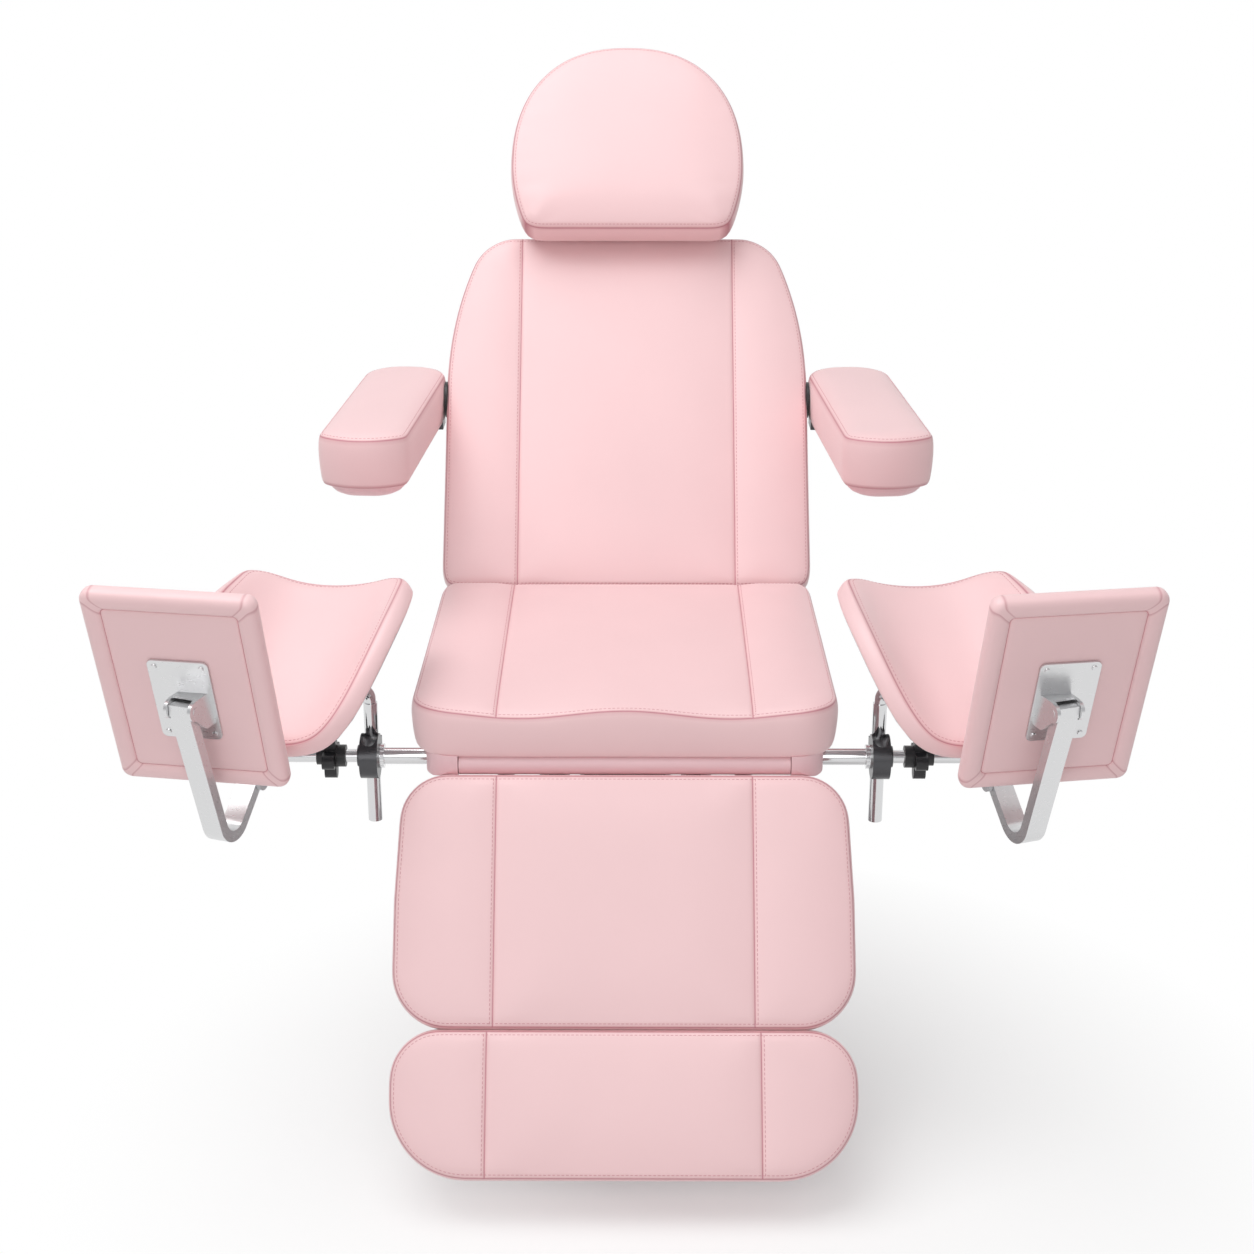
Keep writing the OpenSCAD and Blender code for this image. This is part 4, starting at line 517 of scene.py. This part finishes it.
class Pad:
    """A closed upholstered pad. Its top is a grid inside the outline with rings out to the seam, its side band
    bulges and draws in, and its base is flat. Channels are sewn lines along its length."""

    def __init__(self, name, outline, top, side, matrix, warp=None, channel=None, corner=(0.5, 0.5),
                 inset=16.0, cell=11.0, darts=(), skirt=0.0):
        self.name, self.outline, self.top, self.side = name, outline, top, side
        self.matrix, self.warp, self.channel, self.pressed = matrix, warp, channel, None
        self.lay_grid(offset_line(outline, -inset), corner, cell)
        self.loop = self.loop_index()
        loop = self.flat[self.loop]
        normals = self.loop_normals(loop)
        seam_line = loop + normals * inset
        sewn = [int(np.argmin(np.linalg.norm(seam_line - np.array(d), axis=1))) for d in darts]
        self.ring_d = [d for d in (-inset + FIRST_RING, *RINGS) if d > -inset + 1]
        layers, shade_marks, starts = [], [], []

        def lay(p, z, shade):
            starts.append(sum(len(q) for q in layers))
            layers.append(np.column_stack([p, np.broadcast_to(z, len(p))]))
            shade_marks.append(np.broadcast_to(shade, len(p)))

        lay(self.flat, self.top_z(self.flat, self.edge), self.channel_shade(self.flat))
        for d in self.ring_d:
            p = loop + normals * (inset + d)
            z = self.top_z(p, np.full(len(p), -d))
            # the seam ring sinks, and painted shade darkens it and the channels
            lay(p, z - SEAM["sink"] if d == 0 else z,
                np.maximum(self.channel_shade(p), max(0.0, 1 - abs(d) / SEAM["shade"])))
        edge_z = self.top_z(seam_line, np.zeros(len(loop)))
        for share, d in side:
            p = loop + normals * (inset + d)
            p[sewn] -= normals[sewn] * SEAM["dart"]
            # painted shade along the side band's seams, and full painted shade in the darts
            shade = np.full(len(p), {LOW_SEAM: LOW_SEAM_SHADE, side[0][0]: UNDER_SEAM_SHADE}.get(share, 0.0))
            shade[sewn] = 1
            lay(p, edge_z * share - skirt * (1 - share) ** 2, shade)
        lay(loop + normals * (inset + side[-1][1] - BASE_IN), 0.0, 0.0)
        lay(self.flat, 0.0, 0.0)
        self.starts, self.base_start = starts[1:-1], starts[-1]
        # the seam values are each point's painted shade
        self.points, self.seam = np.concatenate(layers), np.concatenate(shade_marks)

    def lay_grid(self, inner, corner, cell):
        """Rows between the two corner points of the inner line, and columns that keep the channels straight.
        corner says at which share of a right angle the line's slope puts its foot and head corners."""
        x, s = inner[:, 0], inner[:, 1]
        widest = int(np.argmax(x))
        low, high = inner[:widest + 1], inner[widest:]

        def at_slope(part, want):
            step = np.abs(np.gradient(part, axis=0))
            steep = np.where(np.degrees(np.arctan2(step[:, 1], step[:, 0])) >= want)[0]
            return part[steep[0]] if len(steep) else part[-1]

        def curve(part, limit, s_end):
            o = np.argsort(part[:, 0], kind="stable")
            xs, ss = part[o, 0], part[o, 1]
            cut = xs <= limit + NEAR
            return lambda v: np.where(np.abs(v) >= limit, s_end, np.interp(np.abs(v), xs[cut], ss[cut]))

        c0, c1 = at_slope(low, 90 * corner[0]), at_slope(high[::-1], 90 * corner[1])
        rows = max(LEAST_ROWS, int(round((c1[1] - c0[1]) / cell)))
        rows_s = np.linspace(c0[1], c1[1], rows + 1)
        order = np.argsort(s, kind="stable")
        keep = (s[order] >= c0[1] - NEAR) & (s[order] <= c1[1] + NEAR)
        half = np.interp(rows_s, s[order][keep], x[order][keep])
        half[0], half[-1] = c0[0], c1[0]
        foot = curve(low[low[:, 1] <= c0[1] + NEAR], c0[0], c0[1])
        head = curve(high[high[:, 1] >= c1[1] - NEAR], c1[0], c1[1])
        xs = self.columns(half, cell)
        self.r, self.c = xs.shape
        v = np.linspace(0, 1, self.r)[:, None]
        near = max(1.0, (c1[1] - c0[1]) / ROW_FADE)
        ss = rows_s[:, None] + (foot(xs) - c0[1]) * (1 - v) ** near + (head(xs) - c1[1]) * v ** near
        self.flat = np.stack([xs.ravel(), ss.ravel()], 1)
        edge = np.minimum.reduce([half[:, None] - np.abs(xs), ss - foot(xs), head(xs) - ss])
        inset = float(self.outline[:, 0].max() - x.max())
        self.edge = (np.maximum(edge, 0) + inset).ravel()

    def columns(self, half, cell):
        """The x of each row's points, for rows of these half widths."""
        c, w_mid = self.channel, float(np.median(half))
        if not c:
            n = max(LEAST_COLUMNS, int(round(2 * w_mid / cell)))
            return np.array([np.linspace(-w, w, n + 1) for w in half])
        n_out = max(LEAST_OUTER_COLUMNS, int(round((w_mid - c - CHANNEL_ROOM) / cell)))
        n_mid = max(LEAST_COLUMNS, int(round(2 * (c - CHANNEL_ROOM) / cell)))
        across = []
        for w in half:
            cc = min(c, w - CHANNEL_TO_EDGE)
            side = list(np.linspace(w, cc + CHANNEL_ROOM, n_out + 1)) + [cc + d for d in CHANNEL_COLUMNS]
            middle = list(np.linspace(cc - CHANNEL_ROOM, -(cc - CHANNEL_ROOM), n_mid + 1))
            across.append([-v for v in side] + [-v for v in middle] + side[::-1])
        return np.array(across)

    def loop_index(self):
        """The grid's border, once round."""
        r, c = self.r, self.c
        return ([j for j in range(c)] + [i * c + c - 1 for i in range(1, r)]
                + [(r - 1) * c + j for j in range(c - 2, -1, -1)] + [i * c for i in range(r - 2, 0, -1)])

    def loop_normals(self, loop):
        t = np.roll(loop, -1, 0) - np.roll(loop, 1, 0)
        t /= np.linalg.norm(t, axis=1)[:, None]
        n = np.stack([t[:, 1], -t[:, 0]], 1)
        for _ in range(2):
            n = (np.roll(n, 1, 0) + 2 * n + np.roll(n, -1, 0)) / 4
            n /= np.linalg.norm(n, axis=1)[:, None]
        return n

    def from_channel(self, p):
        return np.abs(np.abs(p[:, 0]) - self.channel)

    def top_z(self, p, edge):
        """The top's height, with a wide valley and a narrow groove at each channel. Both end short of the seam."""
        z = self.top(p[:, 0], p[:, 1], edge)
        if self.channel:
            for form in ("valley", "groove"):
                depth, w, reach = (CHANNEL[form + part] for part in ("", "_w", "_in"))
                z = z - np.clip(edge / reach, 0, 1) * depth * np.exp(-(self.from_channel(p) / w) ** 2)
        return z

    # painted shade along each channel's groove
    def channel_shade(self, p):
        return np.clip(1 - self.from_channel(p) / CHANNEL["shade"], 0, 1) if self.channel else np.zeros(len(p))

    def faces(self):
        r, c, b, n = self.r, self.c, self.base_start, len(self.loop)
        f = [(i * c + j, i * c + j + 1, (i + 1) * c + j + 1, (i + 1) * c + j)
             for i in range(r - 1) for j in range(c - 1)]
        above = self.loop
        for below in [[start + k for k in range(n)] for start in self.starts] + [[b + k for k in self.loop]]:
            f += [(above[k], below[k], below[(k + 1) % n], above[(k + 1) % n]) for k in range(n)]
            above = below
        f += [(b + i * c + j, b + (i + 1) * c + j, b + (i + 1) * c + j + 1, b + i * c + j + 1)
              for i in range(r - 1) for j in range(c - 1)]
        return [q[::-1] for q in f] if self.matrix.determinant() < 0 else f

    def pinned(self):
        """Points that thread or board hold: the seam, the sewn channels and everything below the side's fold."""
        pin, n, rings = np.zeros(len(self.points)), len(self.loop), len(self.ring_d)
        if self.channel:
            pin[:len(self.flat)] = self.from_channel(self.flat) < PIN["channel"]
        for start, d in zip(self.starts, self.ring_d):
            if d >= -PIN["seam"]:
                pin[start:start + n] = 1
        for start, (share, _) in zip(self.starts[rings:], self.side):
            if share > PIN["side_above"] or share < PIN["side_below"]:
                pin[start:start + n] = 1
        pin[self.starts[-1]:] = 1
        return pin

    def build(self, body, node):
        self.body, self.node = body, node
        points = self.warp(self.points) if self.warp else self.points
        self.obj = new_object(self.name, to_world(points, self.matrix), self.faces(), M_LEATHER, self.seam)

    def stitch_paths(self):
        """One line inside the seam, and one at the outer side of each channel."""
        co, n = coords(self.obj), len(self.loop)
        start = self.starts[self.ring_d.index(-STITCH["inset"])]
        paths = [(co[start:start + n], True)]
        if self.channel:
            columns_x = self.flat[:, 0].reshape(self.r, self.c)[self.r // 2]
            outer = self.channel + CHANNEL["stitch"]
            for want in (-outer, outer):
                j = int(np.argmin(np.abs(columns_x - want)))
                ends = [self.loop.index(i * self.c + j) for i in (0, self.r - 1)]
                foot, head = [[self.starts[q] + e for q, d in enumerate(self.ring_d) if d < -CHANNEL["stitch_end"]]
                              for e in ends]
                paths.append((co[foot[::-1] + [i * self.c + j for i in range(self.r)] + head], False))
        return paths

    def finish(self):
        finish_cover(self.obj, self.node, self.body)
        sewn = thread(self.name + "_stitches", self.stitch_paths(), self.obj, self.body)
        if self.pressed:
            for obj in (self.obj, sewn):
                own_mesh(obj)


def inflate(pads):
    """Blows the covers up a little between their seams with the cloth solver, and keeps the result."""
    before = {}
    for pad in pads:
        before[pad.name] = coords(pad.obj)
        group = pad.obj.vertex_groups.new(name=CLOTH["vertex_group_mass"])
        pin = pad.pinned()
        for value in (0.0, 1.0):
            group.add([int(i) for i in np.where(pin == value)[0]], value, "REPLACE")
        cloth = pad.obj.modifiers.new("cover", "CLOTH")
        for setting, value in CLOTH.items():
            setattr(cloth.settings, setting, value)
        cloth.settings.effector_weights.gravity = 0
        cloth.collision_settings.use_collision = False
        cloth.collision_settings.use_self_collision = False
        cloth.point_cache.frame_start, cloth.point_cache.frame_end = 1, FRAMES
    for f in range(1, FRAMES + 1):
        SCENE.frame_set(f)
    depsgraph = bpy.context.evaluated_depsgraph_get()
    for pad in pads:
        done = pad.obj.evaluated_get(depsgraph).to_mesh()
        after = np.empty(len(done.vertices) * 3)
        done.vertices.foreach_get("co", after)
        pad.obj.evaluated_get(depsgraph).to_mesh_clear()
        move = after.reshape(-1, 3) - before[pad.name]
        far = np.linalg.norm(move, axis=1)[:, None]
        limit = CAP * MM
        move = np.where(far > 0, move / np.maximum(far, 1e-9) * limit * np.tanh(far / limit), 0)
        pad.obj.modifiers.clear()
        pad.obj.vertex_groups.clear()
        pad.obj.data.vertices.foreach_set("co", (before[pad.name] + np.nan_to_num(move)).ravel())
        pad.obj.data.update()
    SCENE.frame_set(1)


# ------------------------------------------------------------------ foot boards
# Rings of a board's section, from its face round its edge to its back, as (distance in from the edge, share of t)
BOARD_LINES = ((46, 0.86), (BOARD["border"] + 1.4, 0.86), (BOARD["border"] + 0.5, 0.8), (BOARD["border"], 0.76),
               (BOARD["border"] - 0.5, 0.8), (BOARD["border"] - 1.6, 0.885), (BOARD["border"] - 5, 0.94),
               (20, 0.975), (15, 0.995), (10, 0.985), (6, 0.94), (3, 0.86), (1.2, 0.77), (0.2, 0.66), (0, 0.5),
               (0.4, 0.34), (1.6, 0.2), (3.6, 0.09), (7, 0.02), (12, 0), (46, 0))
BOARD_CORNERS = ((1, 1), (-1, 1), (-1, -1), (1, -1))
CORNER_POINTS = 9
# painted shade along the corner seams of the border roll, as a share of the groove's full shade
CORNER_SEAM_SHADE = 0.55
SIDE_STEPS = [0.012, 0.05] + [0.1 + 0.8 * k / 14 for k in range(15)] + [0.95, 0.988]


def board_pad(side, word):
    """An upholstered board: a flat panel inside a sewn border roll. Its corners are pieces of their own."""
    w, h = BOARD["w"] / 2, BOARD["h"] / 2
    rings, shade_marks = [], []
    for d, share in BOARD_LINES:
        r = max(BOARD["r"] - d, BOARD["least_r"])
        ends = CORNER_SEAM_SHADE if BOARD["border"] > d else 0
        ring, shade = [], []
        for k, (sx, sy) in enumerate(BOARD_CORNERS):
            nx, ny = BOARD_CORNERS[(k + 1) % 4]
            cx, cy = sx * (w - d - r), sy * (h - d - r)
            ox, oy = nx * (w - d - r), ny * (h - d - r)
            bend = arc(0, 0, r, 90 * k, 90 * k + 90, CORNER_POINTS)
            last = bend[-1]
            ring += [(cx + x, cy + y) for x, y in bend]
            ring += [(cx + (ox - cx) * f + last[0], cy + (oy - cy) * f + last[1]) for f in SIDE_STEPS]
            shade += [ends] + [0] * (CORNER_POINTS - 2) + [ends] + [0] * len(SIDE_STEPS)
        rings.append(np.column_stack([np.array(ring), np.full(len(ring), share * BOARD["t"])]))
        # the border's groove takes full painted shade
        shade_marks.append(np.maximum(shade, 1.0 if d == BOARD["border"] else 0.0))
    n = len(rings[0])
    points = np.concatenate(rings)
    points[:, 1] += h
    faces = [(q * n + k, (q + 1) * n + k, (q + 1) * n + (k + 1) % n, q * n + (k + 1) % n)
             for q in range(len(rings) - 1) for k in range(n)]
    back = (len(rings) - 1) * n
    faces += [tuple(range(n)), tuple(back + k for k in reversed(range(n)))]
    obj = new_object(f"board_pad_{word}", to_world(points, at_board(side)), faces, M_LEATHER, np.concatenate(shade_marks))
    finish_cover(obj, f"foot_board_{word}", f"board_{word}")
    groove = [d for d, _ in BOARD_LINES].index(BOARD["border"])
    thread(f"board_{word}_stitches", [(coords(obj)[groove * n:(groove + 1) * n], True)], obj, f"board_{word}")


# ------------------------------------------------------------------ the pads
PADS = []


def add(pad, body, node):
    pad.build(body, node)
    PADS.append(pad)


add(Pad("seat_pad", rounded_outline(SEAT["l"], seat_half, SEAT["front_r"], SEAT["rear_r"]), seat_top, SIDE, AT_SEAT,
        channel=CHANNEL_X["seat"], skirt=SEAT["skirt"]), "seat", "seat_cushion")
add(Pad("back_pad", rounded_outline(BACK["l"], back_half, BACK["foot_r"], BACK["top_r"]),
        plain_top(BACK["t"], BACK["l"]), SIDE, AT_BACK @ shifted(0, 0, -BACK["t"]), channel=CHANNEL_X["back"]),
    "back", "back_cushion")
add(Pad("head_pad", offset_line(head_outline(), -BULGE), head_top, SIDE,
        AT_BACK @ shifted(0, BACK["l"] - HEAD["lap"], HEAD["proud"] - HEAD["t"]), corner=(0.5, 0.42),
        darts=HEAD["darts"]), "headrest", "head_cushion")
add(Pad("leg_pad", rounded_outline(LEG["l"], leg_half, LEG["top_r"], LEG["low_r"]), plain_top(LEG["t"], LEG["l"]),
        SIDE, AT_LEG_BASE @ shifted(0, -LEG["up"], 0), channel=CHANNEL_X["leg"]), "leg", "leg_cushion")
# when the legrest lifts, the seat would press its end back; the pad only stores the joint, axis, anchor and share for
# that, and its cover and stitches get meshes of their own
PADS[-1].pressed = dict(joint="legrest_lift", axis=AT_LEG.to_3x3() @ Vector((0, 1, 0)),
                        anchor=AT_LEG @ Vector((0, (LEG["l"] - LEG["up"]) * MM, 0)), keep=LEG["pressed"])
add(Pad("foot_pad", rounded_outline(FOOT["l"], foot_half, FOOT["top_r"], FOOT["low_r"]),
        plain_top(LEG["t"], FOOT["l"]), SIDE, AT_LEG_BASE @ shifted(0, FOOT["start"], 0), channel=CHANNEL_X["foot"]),
    "foot", "foot_cushion")
for side, word in ((-1, "left"), (1, "right")):
    add(Pad(f"arm_pad_{word}", arm_outline(), plain_top(ARM["t"], ARM["l"], half=ARM["crown_half"]), ARM_SIDE,
            at_arm(side), inset=13.0, cell=9.0), f"armrest_{word}", f"arm_cushion_{word}")
    add(Pad(f"knee_pad_{word}", offset_line(knee_outline(), KNEE["grow"]), knee_top, KNEE_SIDE,
            mirrored(side) @ placed(0, 0, 0), warp=knee_warp, inset=13.0, cell=9.0, skirt=KNEE["skirt"]),
        f"saddle_{word}", f"knee_cushion_{word}")
    board_pad(side, word)

inflate(PADS)
for p in PADS:
    p.finish()

# ------------------------------------------------------------------ CAD nodes that show
# The covers hide the CAD's soft nodes. Every other node that FINISH leaves out is satin steel.
FINISH = {
    M_SHELL: ["seat_pan", "front_roll", "back_tray", "leg_tray", "foot_tray", "arm_shell_left", "arm_shell_right"],
    M_GREY: ["knee_shell_left", "knee_shell_right"],
    M_WHITE: ["base_frame", "base_cover", "column_outer", "column_middle", "column_inner"],
    M_RUBBER: ["levelling_feet"],
    M_BLACK: ["star_knob_left", "star_knob_right", "arm_bracket_left", "arm_bracket_right", "lift_motor",
              "mains_inlet", "control_box", "back_actuator", "leg_actuator"],
    # painted shade: the arm cores are dark so that their showing corner passes for the shaded gap between arm and
    # backrest
    M_DARK_AND_SHADE: ["post_clamp_left", "post_clamp_right", "arm_core_left", "arm_core_right"],
    M_CHROME: ["support_rod_left", "support_rod_right", "post_left", "post_right", "back_actuator_rod",
               "leg_actuator_rod", "head_rods", "recline_shaft", "leg_shaft"],
}
MATERIAL_OF = {n: material for material, names in FINISH.items() for n in names}
SOFT = {p.node for p in PADS} | {"foot_board_left", "foot_board_right"}
for n, o in NODES.items():
    if n not in SOFT:
        o.data.materials.clear()
        o.data.materials.append(MATERIAL_OF.get(n, M_STEEL))

# ------------------------------------------------------------------ floor and world, in metres
FLOOR_HALF = 12.0
# the floor turns into the white backdrop between these distances from a centre in front of the chair
FADE = dict(centre=(0.12, -0.5, 0), near=0.15, far=0.95, least=0.3)
FLOOR_SHOWN = (1.0, 0.995, 0.995)
FLOOR_BOUNCE = (0.8, 0.795, 0.795)
# metal mirrors the room in directions whose y lies below the first share, and the backdrop above the second
ROOM = dict(colour=(0.55, 0.55, 0.56), sides=(-0.5, 0.1))
WORLD_LIGHT = 0.4
WHITE = (1, 1, 1)


def seen(nodes, links):
    """1 for the rays that show a thing: the camera's own, and those that metal mirrors or glass passes on."""
    path = nodes.new("ShaderNodeLightPath").outputs
    both = maths(nodes, links, "MAXIMUM", path["Is Camera Ray"], path["Is Glossy Ray"])
    return maths(nodes, links, "MAXIMUM", both, path["Is Transmission Ray"])


def floor_material():
    """A matt pale floor. It is whiter to the rays that show it than to those that it sends on."""
    m, nodes, links, b = new_material("pale_floor", (0.98, 0.98, 0.98), 0.9)
    b.inputs["Specular IOR Level"].default_value = 0.0
    shown = seen(nodes, links)
    links.new(mix(nodes, links, shown, FLOOR_BOUNCE, FLOOR_SHOWN), b.inputs["Base Color"])
    centred = nodes.new("ShaderNodeMapping")
    centred.inputs["Location"].default_value = [-v for v in FADE["centre"]]
    links.new(nodes.new("ShaderNodeTexCoord").outputs["Object"], centred.inputs["Vector"])
    away = nodes.new("ShaderNodeVectorMath")
    away.operation = "LENGTH"
    links.new(centred.outputs["Vector"], away.inputs[0])
    fade = span(nodes, links, away.outputs["Value"], FADE["least"], 1.0, FADE["near"], FADE["far"])
    glow = nodes.new("ShaderNodeEmission")
    glow.inputs["Color"].default_value = (*WHITE, 1)
    glow.inputs["Strength"].default_value = 1.0
    blend = nodes.new("ShaderNodeMixShader")
    links.new(maths(nodes, links, "MULTIPLY", fade, shown), blend.inputs["Fac"])
    links.new(b.outputs["BSDF"], blend.inputs[1])
    links.new(glow.outputs["Emission"], blend.inputs[2])
    links.new(blend.outputs["Shader"], nodes["Material Output"].inputs["Surface"])
    return m


def white_world():
    """A soft even light. The camera sees a white backdrop, and metal mirrors it behind the chair and overhead,
    with a dimmer room on the camera's side."""
    world = bpy.data.worlds.new("studio")
    world.use_nodes = True
    nodes, links = world.node_tree.nodes, world.node_tree.links
    light = nodes["Background"]
    light.inputs["Color"].default_value = (*WHITE, 1)
    light.inputs["Strength"].default_value = WORLD_LIGHT
    backdrop = nodes.new("ShaderNodeBackground")
    backdrop.inputs["Strength"].default_value = 1.0
    facing = nodes.new("ShaderNodeSeparateXYZ")
    links.new(nodes.new("ShaderNodeTexCoord").outputs["Generated"], facing.inputs["Vector"])
    side = span(nodes, links, facing.outputs["Y"], 0.0, 1.0, *ROOM["sides"])
    around = mix(nodes, links, side, ROOM["colour"], WHITE)
    glossy = nodes.new("ShaderNodeLightPath").outputs["Is Glossy Ray"]
    links.new(mix(nodes, links, glossy, WHITE, around), backdrop.inputs["Color"])
    choose = nodes.new("ShaderNodeMixShader")
    links.new(seen(nodes, links), choose.inputs["Fac"])
    links.new(light.outputs["Background"], choose.inputs[1])
    links.new(backdrop.outputs["Background"], choose.inputs[2])
    links.new(choose.outputs["Shader"], nodes["World Output"].inputs["Surface"])
    return world


floor = new_object("floor", [(FLOOR_HALF * x, FLOOR_HALF * y, 0) for x, y in ((-1, -1), (1, -1), (1, 1), (-1, 1))],
                   [(0, 1, 2, 3)], floor_material())
SCENE.world = white_world()


# ------------------------------------------------------------------ lights and camera
def area(name, at, aim, size, power):
    """A square light of this size in metres and power in watts."""
    light = bpy.data.lights.new(name, "AREA")
    light.shape = "SQUARE"
    light.size = size
    light.energy = power
    obj = bpy.data.objects.new(name, light)
    obj.location = at
    obj.rotation_euler = (Vector(aim) - Vector(at)).to_track_quat("-Z", "Y").to_euler()
    SCENE.collection.objects.link(obj)


area("key", at=(-1.0, -0.6, 4.1), aim=(0, 0.1, 0.7), size=3.2, power=94)
area("fill", at=(-0.4, -3.6, 2.1), aim=(0, 0, 0.7), size=2.4, power=28)

# solved from the photo: place in millimetres, degrees below the horizon, roll in radians, lens in millimetres
CAMERA = dict(x=16, y=-2709, z=1770, down=20.5, roll=0.0046, lens=60.0, sensor=36, clip_end=60)
camera = bpy.data.cameras.new("camera")
camera.sensor_width = CAMERA["sensor"]
camera.lens = CAMERA["lens"]
camera.clip_end = CAMERA["clip_end"]
eye = bpy.data.objects.new("camera", camera)
eye.location = (CAMERA["x"] * MM, (CAMERA["y"] - CHAIR_Y) * MM, CAMERA["z"] * MM)
eye.rotation_euler = Euler((math.radians(90 - CAMERA["down"]), 0, CAMERA["roll"]))
SCENE.collection.objects.link(eye)
SCENE.camera = eye
SCENE.view_settings.view_transform = "Standard"
